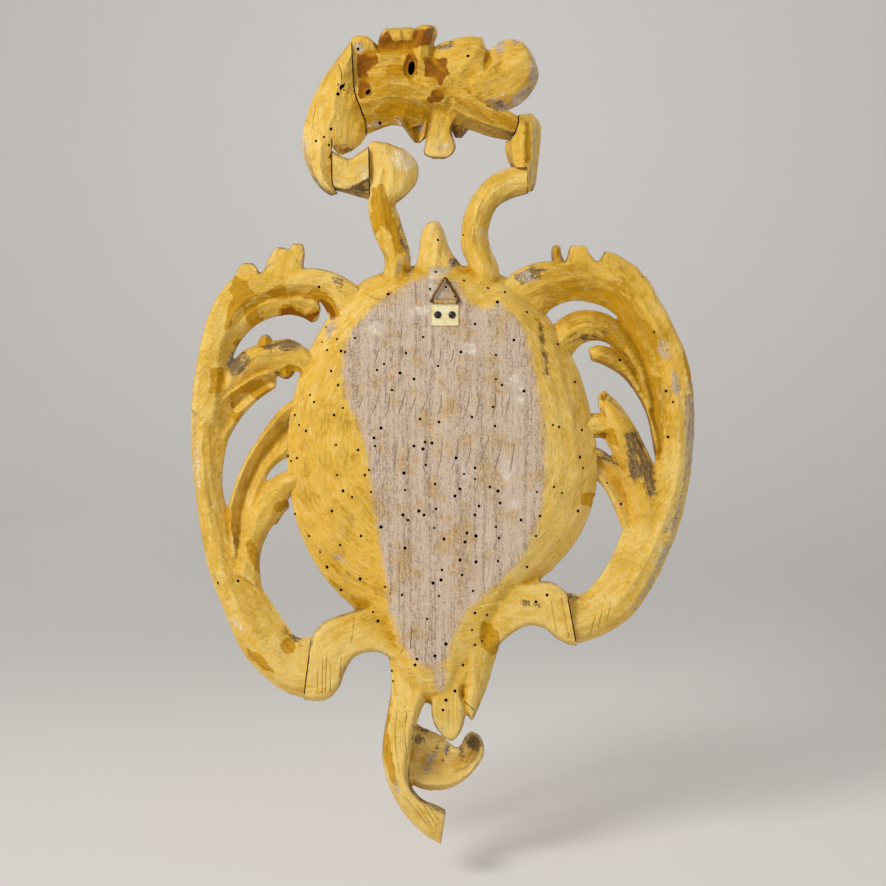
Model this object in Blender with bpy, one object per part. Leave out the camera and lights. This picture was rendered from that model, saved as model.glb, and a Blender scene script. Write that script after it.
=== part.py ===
"""A carved and gilt wooden cartouche that hangs on a wall by a brass triangle ring.

The back is flat, with bevelled margins, and faces +Y, the wall. The gilt front faces -Y.
The origin is inside the apex of the hanging ring, where the hook bears. +Z is up.
Left and right are as seen from the front.

The carving is laid out on a carver's template, a grid of squares seen from behind: u runs
to the right, v runs down. Depths are measured from the flat back towards the front.
"""

import math

import bmesh
import bpy
import numpy as np

# Overall size and the template's grid.
HEIGHT = 0.600
TEMPLATE_ROWS = 822
SQUARE = HEIGHT / TEMPLATE_ROWS
TEMPLATE_MIDDLE = (443.0, 443.0)
EYE_DISTANCE = 0.85  # the template is drawn as seen from here, straight behind its middle

# Depths of the shield board.
SHIELD_EDGE = 0.019
SHIELD_PLATFORM = 0.030
BOSS_RIM_HEIGHT = 0.008
BOSS_DOME_HEIGHT = 0.017

# Depths of the other boards: the back ridge, the thin edge and the front crown.
WING_BOARD = (0.010, 0.020, 0.034)
LEAF_BOARD = (0.013, 0.021, 0.032)
LUG_BOARD = (0.006, 0.016, 0.034)
NECK_BOARD = (0.004, 0.013, 0.027)
TAIL_BOARD = (0.004, 0.014, 0.029)
CURL_BOARD = (0.020, 0.030, 0.042)
CREST_BOARD = (0.005, 0.019, 0.036)
LOBE_BOARD = (0.011, 0.021, 0.037)

# Glued joints and the pieces that rest on each other.
GLUE_GAP = 0.0003
CUTTER_REACH = (-0.03, 0.09)  # the depths a cutter stands between
SHARP_ANGLE = math.radians(40)

# The brass hanger: a folded plate, a wire ring and two screws.
WIRE_RADIUS = 0.0009
WIRE_CLEARANCE = 0.00015
SHEET = 0.0007
RING_WIDTH = 0.0215  # between the wire's centre lines at the base
RING_HEIGHT = 0.0175  # from the base's centre line to that of the apex
RING_BEND = 0.0010
PLATE_WIDTH = 0.0196
PLATE_LENGTH = 0.0175  # below the hinge axis
KNUCKLE_END_GAP = 0.0004
SCREW_INSET = 0.0046  # from the plate's side edges
SCREW_RISE = 0.0078  # from the plate's lower edge
SCREW_HEAD_RADIUS = 0.0027
SCREW_HEAD_HEIGHT = 0.0015
SCREW_SHANK_RADIUS = 0.0012
SCREW_SHANK_LENGTH = 0.0110
SCREW_POINT_LENGTH = 0.0030
SCREW_POINT_RADIUS = 0.0002
SCREW_CLEARANCE = 0.0003
SLOT_WIDTH = 0.0006
SLOT_DEPTH = 0.0006
ROUND_SIDES = 12

KNUCKLE_INSIDE = WIRE_RADIUS + WIRE_CLEARANCE
KNUCKLE_OUTSIDE = KNUCKLE_INSIDE + SHEET
HINGE_STAND_OFF = GLUE_GAP + KNUCKLE_OUTSIDE  # from the flat back to the ring's axis
HINGE_DROP = RING_HEIGHT - WIRE_RADIUS  # from the hook's bearing point to that axis
HOOK_SQUARE = (445.0, 279.0)
FLAT_BACK_Y = -HINGE_STAND_OFF
PLATE_BACK_Y = FLAT_BACK_Y + GLUE_GAP
SCREW_SEAT_Y = PLATE_BACK_Y + SHEET + GLUE_GAP
SCREW_TIP_Y = SCREW_SEAT_Y - SCREW_SHANK_LENGTH

# Colours: red, green, blue, then roughness and metallic.
OCHRE_WOOD = (0.66, 0.42, 0.10, 0.75, 0.0)
BRASS_SHEET = (0.78, 0.62, 0.26, 0.30, 1.0)
BRONZE_WIRE = (0.42, 0.28, 0.12, 0.40, 1.0)
DARK_STEEL = (0.10, 0.10, 0.11, 0.45, 1.0)


def clear_scene():
    """Removes whatever the startup scene holds."""
    for obj in list(bpy.data.objects):
        bpy.data.objects.remove(obj)


def place(u, v, depth):
    """The point of the object that the template shows at (u, v), at this depth."""
    spread = SQUARE * (EYE_DISTANCE + depth) / EYE_DISTANCE
    across = (u - TEMPLATE_MIDDLE[0]) * spread
    down = (v - TEMPLATE_MIDDLE[1]) * spread
    hook_across = (HOOK_SQUARE[0] - TEMPLATE_MIDDLE[0]) * SQUARE
    hook_down = (HOOK_SQUARE[1] - TEMPLATE_MIDDLE[1]) * SQUARE
    return (hook_across - across, -depth - HINGE_STAND_OFF, hook_down - down)


def smooth_curve(points, count):
    """A Catmull-Rom curve through the points, read at an even spacing of its parameter."""
    p = np.asarray(points, float)
    p = np.vstack([2 * p[0] - p[1], p, 2 * p[-1] - p[-2]])
    spans = len(p) - 3
    found = []
    for s in np.linspace(0, spans, count):
        i = min(int(s), spans - 1)
        t = s - i
        a, b, c, d = p[i : i + 4]
        cubic = (3 * b - a - 3 * c + d) * t**3
        square = (2 * a - 5 * b + 4 * c - d) * t**2
        found.append(0.5 * (2 * b + (c - a) * t + square + cubic))
    return np.array(found)


def material(name, look):
    """A Principled material of one colour, roughness and metallic value."""
    found = bpy.data.materials.get(name) or bpy.data.materials.new(name)
    found.use_nodes = True
    shader = found.node_tree.nodes["Principled BSDF"]
    shader.inputs["Base Color"].default_value = (*look[:3], 1.0)
    shader.inputs["Roughness"].default_value = look[3]
    shader.inputs["Metallic"].default_value = look[4]
    found.diffuse_color = (*look[:3], 1.0)
    return found


def mesh_object(name, points, faces, helper=False):
    """An object of these points and faces, with its faces pointing out."""
    mesh = bpy.data.meshes.new(name)
    mesh.from_pydata([tuple(map(float, p)) for p in points], [], faces)
    shape = bmesh.new()
    shape.from_mesh(mesh)
    bmesh.ops.triangulate(shape, faces=shape.faces)
    bmesh.ops.recalc_face_normals(shape, faces=shape.faces)
    shape.to_mesh(mesh)
    shape.free()
    mesh.shade_smooth()
    mesh.set_sharp_from_angle(angle=SHARP_ANGLE)
    obj = bpy.data.objects.new(name, mesh)
    bpy.context.scene.collection.objects.link(obj)
    if helper:
        obj.hide_render = True
        obj.display_type = "WIRE"
    return obj


def skin(rings, closed_loop=False):
    """Points and faces of a skin over rings with as many points each, capped at its ends."""
    count = len(rings[0])
    points = [p for ring in rings for p in ring]
    spans = len(rings) if closed_loop else len(rings) - 1
    faces = []
    for i in range(spans):
        low, high = i * count, (i + 1) % len(rings) * count
        for j in range(count):
            k = (j + 1) % count
            faces.append((low + j, low + k, high + k, high + j))
    if not closed_loop:
        faces.append(tuple(range(count))[::-1])
        faces.append(tuple(range((len(rings) - 1) * count, len(rings) * count)))
    return points, faces


def boolean(obj, operation, tools):
    """Adds one exact Boolean for each tool."""
    for tool in tools:
        modifier = obj.modifiers.new(f"{operation.lower()} {tool.name}", "BOOLEAN")
        modifier.operation = operation
        modifier.solver = "EXACT"
        modifier.object = tool


# Cross-sections of a carved limb. Each pair is a share of the way across and a share of the
# way from the thin edge to the back ridge, or to the front crown.
ROOF_BACK = ((0.0, 0.0), (0.2, 0.68), (0.46, 1.0), (0.78, 0.72), (1.0, 0.0))
SLANT_BACK = ((0.0, 0.0), (0.14, 0.72), (0.34, 1.0), (0.68, 0.55), (1.0, 0.0))
FLAT_BACK = ((0.0, 0.35), (0.08, 0.96), (0.5, 1.0), (0.92, 0.96), (1.0, 0.35))
SCOOPED_BACK = ((0.0, 0.2), (0.1, 0.95), (0.45, -0.3), (0.82, 0.5), (1.0, 0.1))
FLUTED_FRONT = ((0.84, 0.95), (0.5, 0.55), (0.16, 0.95))
ROUND_FRONT = ((0.9, 0.55), (0.64, 1.0), (0.36, 1.0), (0.1, 0.55))
MORE_STATIONS = 1
TIP_SHARE = 0.22
TIP_THICKNESS = 0.3


def tip_scale(share, tips):
    """How thick a limb is at this share of its length, where a tip rounds off."""
    scale = 1.0
    for reach, closes in ((share, tips[0]), (1 - share, tips[1])):
        if closes and reach < TIP_SHARE:
            rise = math.sqrt(1 - (1 - reach / TIP_SHARE) ** 2)
            scale *= TIP_THICKNESS + (1 - TIP_THICKNESS) * rise
    return scale


def limb(name, pairs, board, back=ROOF_BACK, front=FLUTED_FRONT, tips=(0, 1), sink=(0, 0)):
    """A carved limb between two edges. Each pair holds a point of either edge, in squares.

    sink is how much deeper the limb lies, in squares, from its first pair to its last.
    """
    stations = len(pairs) + MORE_STATIONS
    edges = smooth_curve(pairs, stations)
    deeper = np.interp(np.linspace(0, 1, stations), np.linspace(0, 1, len(sink)), sink)
    back_depth, edge_depth, front_depth = board
    rings = []
    for i, (u0, v0, u1, v1) in enumerate(edges):
        thick = tip_scale(i / (stations - 1), tips)
        ring = []
        for profile, far in ((back, back_depth), (front, front_depth)):
            for across, share in profile:
                depth = edge_depth + share * thick * (far - edge_depth) + deeper[i] * SQUARE
                ring.append(place(u0 + across * (u1 - u0), v0 + across * (v1 - v0), depth))
        rings.append(ring)
    return mesh_object(name, *skin(rings), helper=True)


def prism(name, outline, depths):
    """A cutter with this outline on the template, standing between two depths."""
    rings = [[place(u, v, depth) for u, v in outline] for depth in depths]
    return mesh_object(name, *skin(rings), helper=True)


def curtain(name, line, reach, side):
    """A cutter standing on a joint line, reaching this many squares to one side of it."""
    line = np.asarray(line, float)
    run = line[-1] - line[0]
    normal = np.array([run[1], -run[0]]) / np.hypot(*run) * side
    near = line - normal * (GLUE_GAP / 2 / SQUARE)
    return prism(name, [*near, *(line + normal * reach)[::-1]], CUTTER_REACH)


def carve(name, limbs, cutters=()):
    """One carved piece: its first limb, joined with the others, less the cutters."""
    piece = limbs[0]
    piece.name = piece.data.name = name
    piece.hide_render = False
    piece.display_type = "TEXTURED"
    boolean(piece, "UNION", limbs[1:])
    boolean(piece, "DIFFERENCE", cutters)
    piece.data.materials.append(material("ochre wood", OCHRE_WOOD))
    return piece


# The shield: its widest outline, the flat of its back, and the oval boss on its front.
SHIELD_MIDDLE = np.array([443.0, 440.0])
SHIELD_OUTLINE = (
    (443, 264), (480, 268), (508, 277), (534, 299), (557, 329), (577, 366), (590, 408),
    (597, 455), (596, 492), (582, 532), (559, 563), (531, 588), (508, 615), (494, 655),
    (486, 690), (456, 704), (420, 702), (394, 682), (388, 655), (370, 627), (350, 605),
    (330, 585), (310, 555), (295, 518), (287, 470), (288, 428), (297, 382), (313, 342),
    (335, 308), (362, 281), (400, 268),
)
FLAT_OUTLINE = (
    (443, 282), (486, 300), (514, 318), (531, 352), (540, 400), (545, 450), (542, 490),
    (527, 535), (503, 572), (474, 605), (458, 640), (448, 680), (424, 684), (406, 640),
    (392, 600), (384, 555), (376, 505), (362, 455), (350, 410), (343, 370), (348, 340),
    (366, 314), (396, 292),
)
SHIELD_SIDES = 44
BOSS_MIDDLE = (443.0, 432.0)
BOSS_RADII = (112.0, 134.0)
BOSS_SIDES = 32
# Share of the way from the flat to the outline, and share of the depth of the edge.
BACK_BEVEL = ((0.0, 0.0), (0.3, 0.12), (0.62, 0.4), (0.86, 0.74), (1.0, 1.0))
# Share of the outline's radius, and share of the way from the edge to the platform.
FRONT_SHOULDER = ((0.985, 0.45), (0.93, 0.9), (0.86, 1.0))
# Share of the boss's radii, and heights over the platform as shares of rim and dome.
BOSS_RIM = ((1.13, -0.9), (1.11, 0.5), (1.05, 1.0), (0.99, 0.8), (0.955, 0.1))
BOSS_DOME = ((0.88, 0.25), (0.68, 0.66), (0.36, 0.94))


def radius_at(outline, angles):
    """The distance from the shield's middle to a closed outline, in each direction."""
    closed = smooth_curve([*outline, *outline[:3]], 12 * (len(outline) + 2) + 1)
    away = closed - SHIELD_MIDDLE
    bearing = np.arctan2(away[:, 1], away[:, 0]) % math.tau
    order = np.argsort(bearing)
    return np.interp(angles, bearing[order], np.hypot(*away.T)[order], period=math.tau)


def shield_body(name, grow=0.0):
    """The shield's board or, with a clearance to grow by, a cutter that clears its bay."""
    angles = np.arange(SHIELD_SIDES) / SHIELD_SIDES * math.tau
    outer = radius_at(SHIELD_OUTLINE, angles) + grow / SQUARE
    flat = radius_at(FLAT_OUTLINE, angles)
    directions = np.stack([np.cos(angles), np.sin(angles)], axis=1)
    profile = [
        (flat + share * (outer - flat), fall * SHIELD_EDGE - grow * (1 - fall))
        for share, fall in BACK_BEVEL
    ]
    if grow:
        profile.append((outer, CUTTER_REACH[1]))
    else:
        rise = SHIELD_PLATFORM - SHIELD_EDGE
        profile += [(outer * share, SHIELD_EDGE + lift * rise) for share, lift in FRONT_SHOULDER]
    rings = []
    for radii, depth in profile:
        squares = SHIELD_MIDDLE + directions * radii[:, None]
        rings.append([place(u, v, depth) for u, v in squares])
    return mesh_object(name, *skin(rings), helper=True)


def boss_body(name):
    """The raised oval on the front: a rounded rim, a quirk and a shallow dome."""
    profile = [(share, SHIELD_PLATFORM + lift * BOSS_RIM_HEIGHT) for share, lift in BOSS_RIM]
    profile += [(share, SHIELD_PLATFORM + lift * BOSS_DOME_HEIGHT) for share, lift in BOSS_DOME]
    rings = []
    for share, depth in profile:
        ring = []
        for i in range(BOSS_SIDES):
            angle = i / BOSS_SIDES * math.tau
            u = BOSS_MIDDLE[0] + share * BOSS_RADII[0] * math.cos(angle)
            v = BOSS_MIDDLE[1] + share * BOSS_RADII[1] * math.sin(angle)
            ring.append(place(u, v, depth))
        rings.append(ring)
    return mesh_object(name, *skin(rings), helper=True)


# Joint lines between the glued boards, in squares.
RIGHT_WING_JOINT = ((313.5, 620), (302, 712))
LEFT_WING_JOINT = ((563, 572), (579, 658))
LIMB_JOINT = ((346, 20), (355, 70), (357, 98), (365, 120), (378, 160))
BLOCK_JOINT = ((331, 138), (331, 178), (341, 204))
BLOCK_BAY = (
    (374, 139), (362, 149.3), (353, 154), (346, 156), (338, 154), (330.8, 147), (330.8, 178),
    (340.8, 204), (376, 204),
)
LIMB_COVE = ((334, 145), (350, 144), (352, 156), (346, 162), (328, 158))
LIMB_COVE_DEPTH = 0.014
LINK_BAY = ((490, 165.5), (527.6, 165.5), (529.5, 210), (490, 210))
KNOB_JOINT = ((368.5, 138), (371, 206))
ARM_JOINT = ((520, 104), (518, 122), (511, 146))
NECK_JOINT = ((527, 156), (529, 204))


def make_shield():
    """The shield board with its necks, finial, lugs and tail, carved in one."""
    limbs = [
        shield_body("shield_panel"),
        boss_body("boss"),
        limb("right neck", (
            (378, 300, 424, 300), (383, 272, 410, 276), (384, 258, 411, 258), (377, 242, 407, 240),
            (371, 226, 401, 222), (368, 208, 396, 207), (369, 190, 392, 192), (372, 166, 392, 168),
        ), NECK_BOARD, tips=(0, 0)),
        limb("knob", (
            (374, 206, 399, 202), (369, 192, 409, 193), (367, 176, 418, 181), (366, 160, 418, 163),
            (366, 147, 406, 150), (372, 141, 388, 143),
        ), NECK_BOARD, tips=(1, 1), front=ROUND_FRONT),
        limb("finial", (
            (400, 292, 482, 292), (412, 272, 468, 272), (418, 255, 453, 254), (420, 238, 447, 240),
            (424, 226, 443, 228), (431, 221, 438, 221),
        ), NECK_BOARD, front=ROUND_FRONT, sink=(0, 3)),
        limb("left neck", (
            (450, 306, 496, 306), (469, 274, 500, 272), (461, 248, 491, 248), (461, 228, 489, 230),
            (467, 206, 496, 209), (481, 184, 509, 200), (503, 172, 521, 196), (524, 170, 534, 192),
            (542, 169, 548, 188),
        ), NECK_BOARD, tips=(0, 0)),
        limb("right lug", (
            (392, 590, 408, 672), (362, 607, 380, 653), (340, 615, 357, 656), (323, 622, 346, 670),
            (313, 634, 339, 688), (308, 650, 324, 701), (296, 655, 296, 699),
        ), LUG_BOARD, FLAT_BACK, tips=(0, 0)),
        limb("left lug", (
            (498, 588, 480, 664), (526, 583, 507, 638), (548, 581, 527, 626), (562, 588, 544, 628),
            (571, 598, 557, 639), (578, 600, 573, 646), (592, 598, 592, 645),
        ), LUG_BOARD, FLAT_BACK, tips=(0, 0)),
        limb("tail leaf", (
            (396, 640, 442, 640), (391, 672, 437, 679), (390, 695, 427, 698), (385, 725, 417, 723),
            (382, 750, 412, 750), (386, 778, 409, 778), (400, 808, 420, 797), (421, 832, 437, 805),
            (441, 845, 446, 810),
        ), TAIL_BOARD, SLANT_BACK, tips=(0, 0)),
        limb("middle leaf", (
            (428, 666, 472, 666), (434, 690, 461, 690), (431, 708, 465, 708), (434, 724, 464, 724),
            (443, 736, 458, 736), (450, 741, 453, 741),
        ), TAIL_BOARD, FLAT_BACK),
        limb("side leaf", (
            (450, 650, 498, 648), (459, 682, 489, 682), (462, 700, 482, 700), (467, 713, 476, 713),
            (471, 720, 473, 720),
        ), TAIL_BOARD, sink=(0, 0, 6)),
        limb("curl", (
            (396, 762, 402, 712), (412, 785, 422, 726), (437, 791, 438, 733), (458, 785, 449, 742),
            (474, 771, 457, 748), (484, 753, 461, 744), (481, 737, 464, 738), (472, 731, 468, 733),
        ), CURL_BOARD, SCOOPED_BACK, sink=(-10, 0, 0, -8)),
    ]
    cutters = [
        curtain("cut for right wing", RIGHT_WING_JOINT, 40, -1),
        curtain("cut for left wing", LEFT_WING_JOINT, 40, 1),
        curtain("cut for block", KNOB_JOINT, 30, -1),
        curtain("cut for left block", NECK_JOINT, 40, 1),
        *screw_bores(),
    ]
    return carve("shield_panel", limbs, cutters)


def make_right_wing():
    """The wing on the template's left: a C-scroll with leaves reaching to the shield."""
    limbs = [
        limb("right_wing", (
            (322, 702, 322, 632), (287, 693, 298, 637), (263, 676, 284, 620), (240, 648, 269, 598),
            (222, 606, 255, 574), (208, 568, 243, 545), (200, 528, 231, 518), (195, 490, 223, 490),
            (191, 445, 224, 462), (191, 410, 229, 435), (195, 370, 232, 400), (203, 332, 231, 368),
            (214, 302, 237, 345), (232, 280, 250, 322), (258, 273, 268, 306), (285, 271, 287, 299),
            (312, 268, 306, 297), (336, 273, 320, 302), (356, 285, 330, 318), (370, 300, 344, 332),
        ), WING_BOARD, SLANT_BACK, tips=(0, 0)),
        limb("first tooth", (
            (226, 300, 264, 292), (231, 282, 261, 279), (238, 268, 257, 269), (245, 263, 251, 263),
        ), WING_BOARD),
        limb("second tooth", (
            (256, 288, 298, 288), (266, 264, 294, 265), (272, 252, 290, 252), (278, 247, 284, 247),
        ), WING_BOARD),
        limb("third tooth", (
            (278, 282, 304, 282), (286, 260, 305, 262), (290, 249, 304, 250), (295, 243, 301, 242),
        ), WING_BOARD, sink=(2, 2)),
        limb("inner curl", (
            (208, 392, 226, 392), (220, 350, 235, 352), (238, 322, 251, 330), (258, 306, 268, 319),
            (279, 299, 289, 315), (299, 298, 303, 318), (315, 301, 312, 323), (321, 310, 318, 320),
        ), LEAF_BOARD, SCOOPED_BACK, sink=(3, 0, 2)),
        limb("second branch", (
            (210, 400, 224, 412), (227, 370, 245, 388), (243, 351, 262, 374), (268, 342, 279, 371),
            (290, 339, 296, 372), (308, 349, 306, 376), (322, 358, 318, 384),
        ), LEAF_BOARD, SLANT_BACK, tips=(0, 0)),
        limb("branch bud", (
            (254, 354, 276, 352), (258, 341, 273, 341), (263, 335, 268, 334),
        ), LEAF_BOARD, sink=(4, 4)),
        limb("branch drop", (
            (274, 364, 297, 366), (278, 375, 294, 374), (283, 379, 289, 379),
        ), LEAF_BOARD, sink=(8, 8)),
        limb("branch lobe", (
            (208, 408, 224, 448), (232, 388, 240, 420), (255, 374, 255, 403), (270, 370, 268, 393),
            (277, 374, 276, 388),
        ), LEAF_BOARD, SCOOPED_BACK, sink=(0, 3)),
        limb("third leaf", (
            (232, 556, 252, 566), (228, 514, 252, 526), (232, 492, 259, 497), (241, 468, 266, 479),
            (253, 446, 274, 467), (267, 425, 287, 458), (282, 407, 300, 452), (300, 396, 312, 448),
        ), LEAF_BOARD, SCOOPED_BACK, tips=(0, 0), sink=(-3, 4)),
        limb("fourth leaf", (
            (226, 566, 262, 590), (244, 524, 260, 560), (252, 500, 266, 538), (263, 484, 277, 520),
            (276, 475, 286, 504), (290, 469, 293, 494), (304, 466, 304, 490),
        ), LEAF_BOARD, tips=(0, 0), sink=(-3, 2)),
        limb("fourth leaf drop", (
            (268, 512, 276, 526), (280, 502, 285, 512), (288, 499, 290, 507),
        ), LEAF_BOARD, SCOOPED_BACK, sink=(6, 8)),
    ]
    cutters = [
        curtain("cut for right lug", RIGHT_WING_JOINT, 40, 1),
        shield_body("cut for shield on the right", GLUE_GAP),
    ]
    return carve("right_wing", limbs, cutters)


def make_left_wing():
    """The wing on the template's right, carved freely to answer the other."""
    limbs = [
        limb("left_wing", (
            (554, 647, 554, 586), (580, 643, 580, 594), (606, 634, 598, 578), (632, 616, 611, 557),
            (652, 588, 621, 534), (668, 555, 634, 508), (681, 520, 648, 482), (690, 480, 655, 458),
            (694, 435, 652, 428), (694, 395, 646, 396), (688, 360, 640, 362), (675, 328, 630, 335),
            (660, 300, 617, 315), (646, 277, 603, 304), (622, 263, 590, 300), (595, 261, 577, 299),
            (565, 261, 564, 301), (538, 262, 552, 308), (515, 271, 542, 320), (498, 286, 528, 334),
        ), WING_BOARD, SLANT_BACK, tips=(0, 0)),
        limb("button", (
            (553, 270, 568, 270), (551, 255, 562, 254), (552, 246, 560, 245),
        ), WING_BOARD, sink=(4, 4)),
        limb("broad tooth", (
            (562, 272, 602, 272), (565, 255, 592, 256), (571, 246, 584, 245),
        ), WING_BOARD),
        limb("long tooth", (
            (592, 276, 640, 282), (599, 258, 626, 263), (606, 251, 614, 252),
        ), WING_BOARD),
        limb("upper leaf", (
            (656, 408, 644, 408), (645, 366, 636, 376), (630, 335, 622, 355), (612, 316, 606, 343),
            (592, 310, 592, 341), (575, 311, 580, 346), (560, 319, 570, 358), (546, 332, 556, 370),
        ), LEAF_BOARD, tips=(0, 0), sink=(0, 2)),
        limb("hooked leaf", (
            (662, 440, 655, 458), (643, 388, 646, 414), (622, 356, 627, 382), (602, 345, 607, 367),
            (588, 350, 591, 361),
        ), LEAF_BOARD, SCOOPED_BACK, sink=(0, 2)),
        limb("lower leaf", (
            (668, 512, 630, 516), (655, 468, 621, 474), (644, 443, 611, 452), (632, 421, 604, 436),
            (620, 404, 603, 420), (609, 394, 601, 404),
        ), LEAF_BOARD, sink=(0, -3, 0)),
        limb("lower leaf tip", (
            (622, 420, 604, 418), (613, 401, 598, 404), (606, 390, 599, 393),
        ), LEAF_BOARD, SCOOPED_BACK, sink=(2, 4)),
        limb("bridge", (
            (624, 414, 622, 452), (606, 413, 606, 440), (593, 413, 595, 438), (578, 416, 582, 436),
        ), LEAF_BOARD, tips=(0, 0), sink=(3, 3)),
        limb("root leaf", (
            (648, 498, 628, 545), (623, 467, 617, 516), (611, 456, 607, 494), (599, 448, 598, 482),
            (584, 446, 582, 474),
        ), LEAF_BOARD, SCOOPED_BACK, tips=(0, 0), sink=(0, 6)),
    ]
    cutters = [
        curtain("cut for left lug", LEFT_WING_JOINT, 40, -1),
        shield_body("cut for shield on the left", GLUE_GAP),
    ]
    return carve("left_wing", limbs, cutters)


def make_crest():
    """The leafy crest board, scooped out behind, with its lobes and hanging leaves."""
    limbs = [
        limb("crest", (
            (344, 44, 356, 140), (368, 47, 374, 132), (392, 46, 392, 126), (416, 49, 411, 128),
            (438, 60, 432, 122), (458, 80, 452, 124), (478, 96, 472, 131), (500, 107, 494, 138),
            (526, 119, 520, 140),
        ), CREST_BOARD, ((0.0, 0.0), (0.12, 0.5), (0.38, 0.3), (0.62, 1.0), (1.0, 0.0)),
            tips=(0, 0)),
        limb("corner lobe", (
            (350, 64, 384, 62), (353, 46, 378, 48), (359, 36, 370, 39),
        ), LOBE_BOARD),
        limb("first lobe", (
            (374, 64, 410, 62), (379, 42, 404, 42), (384, 31, 400, 32), (389, 27, 395, 28),
        ), LOBE_BOARD, sink=(0, 3)),
        limb("second lobe", (
            (396, 64, 436, 64), (401, 40, 428, 42), (405, 29, 422, 32), (410, 26, 416, 27),
        ), LOBE_BOARD, sink=(3, 6)),
        limb("third lobe", (
            (410, 66, 436, 70), (416, 42, 434, 46), (421, 28, 437, 34), (425, 24, 433, 25),
        ), LOBE_BOARD),
        limb("long lobe", (
            (428, 58, 450, 112), (434, 47, 478, 104), (452, 40, 494, 84), (470, 37, 492, 62),
            (481, 36, 488, 46),
        ), LOBE_BOARD, ROOF_BACK, sink=(0, 0)),
        limb("round lobe", (
            (464, 60, 478, 112), (480, 55, 500, 112), (493, 47, 518, 106), (503, 40, 532, 92),
            (514, 39, 539, 76), (524, 43, 535, 58),
        ), LOBE_BOARD, ROOF_BACK, front=ROUND_FRONT, tips=(0, 1), sink=(0, 3)),
        limb("first drop", (
            (386, 108, 440, 100), (402, 126, 431, 122), (409, 136, 427, 136), (415, 143, 420, 143),
        ), LOBE_BOARD, SCOOPED_BACK, sink=(0, 6)),
        limb("second drop", (
            (432, 104, 462, 112), (430, 124, 452, 128), (425, 144, 456, 146), (424, 154, 453, 154),
            (433, 159, 445, 159),
        ), LOBE_BOARD, FLAT_BACK, sink=(0, 0)),
        limb("hidden drop", (
            (444, 112, 476, 118), (450, 126, 470, 128), (455, 138, 462, 138),
        ), LOBE_BOARD, sink=(14, 14)),
    ]
    cutters = [
        curtain("cut for crest limb", LIMB_JOINT, 30, -1),
        curtain("cut for arm", ARM_JOINT, 30, 1),
    ]
    return carve("crest", limbs, cutters)


def make_crest_limb():
    """The crescent glued to the crest's right end."""
    limbs = [
        limb("crest_limb", (
            (354, 38, 362, 44), (341, 53, 368, 62), (325, 75, 370, 86), (311, 102, 375, 112),
            (303, 130, 374, 138), (303, 154, 352, 155), (311, 175, 344, 176), (322, 189, 346, 190),
            (336, 198, 344, 198),
        ), CREST_BOARD, SLANT_BACK, tips=(1, 1)),
    ]
    cutters = [
        curtain("cut for crest", LIMB_JOINT, 40, 1),
        prism("cut for crest block", BLOCK_BAY, CUTTER_REACH),
        prism("cove", LIMB_COVE, (CUTTER_REACH[0], LIMB_COVE_DEPTH)),
    ]
    return carve("crest_limb", limbs, cutters)


def make_crest_block():
    """The small block bridging the crest limb and the knob of the right neck."""
    limbs = [
        limb("crest_block", (
            (322, 146, 322, 184), (340, 155, 340, 191), (350, 158, 352, 190), (360, 151, 362, 184),
            (378, 142, 378, 176),
        ), CREST_BOARD, FLAT_BACK, front=ROUND_FRONT, tips=(0, 0)),
        limb("block underside", (
            (320, 169, 320, 187), (345, 172, 345, 193), (358, 170, 358, 197), (384, 167, 384, 204),
        ), LOBE_BOARD, front=ROUND_FRONT, tips=(0, 0), sink=(6, 6)),
    ]
    cutters = [
        curtain("cut for limb", BLOCK_JOINT, 40, -1),
        curtain("cut for knob", KNOB_JOINT, 40, 1),
    ]
    return carve("crest_block", limbs, cutters)


def make_crest_link():
    """The upright link from the crest's arm down to the left neck."""
    limbs = [
        limb("crest_link", (
            (500, 117, 532, 113), (506, 130, 541, 125), (505, 148, 540, 148), (509, 164, 538, 167),
            (520, 178, 536, 182), (521, 193, 533, 191),
        ), CREST_BOARD, front=ROUND_FRONT, tips=(0, 0)),
    ]
    cutters = [
        curtain("cut for crest arm", ARM_JOINT, 40, -1),
        prism("cut for neck end", LINK_BAY, CUTTER_REACH),
    ]
    return carve("crest_link", limbs, cutters)


# The hanger is laid out in metres from the origin, inside the ring's apex.
def knuckle_length():
    """The longest knuckle that the ring's sloping legs swing clear of."""
    slope = math.atan2(RING_HEIGHT, RING_WIDTH / 2)
    leg_middle = RING_WIDTH / 2 * (1 - (KNUCKLE_OUTSIDE + KNUCKLE_END_GAP) / RING_HEIGHT)
    return 2 * (leg_middle - WIRE_RADIUS / math.sin(slope) - KNUCKLE_END_GAP)


def screw_places():
    """X and Z of the two screws."""
    x = PLATE_WIDTH / 2 - SCREW_INSET
    z = -HINGE_DROP - PLATE_LENGTH + SCREW_RISE
    return ((-x, z), (x, z))


def lathe(name, profile, place_x, place_z, helper=False):
    """A round solid from pairs of radius and Y, turned about a line along Y."""
    angles = [i / ROUND_SIDES * math.tau for i in range(ROUND_SIDES)]
    rings = [[(r * math.cos(a), y, r * math.sin(a)) for a in angles] for r, y in profile]
    found = mesh_object(name, *skin(rings), helper=helper)
    found.location = (place_x, 0.0, place_z)
    return found


def box(name, low, high, helper=False):
    """A box between two corners."""
    (x0, y0, z0), (x1, y1, z1) = low, high
    rings = [[(x0, y0, z), (x1, y0, z), (x1, y1, z), (x0, y1, z)] for z in (z0, z1)]
    return mesh_object(name, *skin(rings), helper=helper)


def hinge_cylinder(name, radius, length):
    """A cylinder round the ring's hinge axis, along X."""
    angles = [(i + 0.5) / (ROUND_SIDES + 4) * math.tau for i in range(ROUND_SIDES + 4)]
    rings = [
        [(x, radius * math.cos(a), radius * math.sin(a)) for a in angles]
        for x in (-length / 2, length / 2)
    ]
    found = mesh_object(name, *skin(rings), helper=True)
    found.location = (0.0, 0.0, -HINGE_DROP)
    return found


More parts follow.
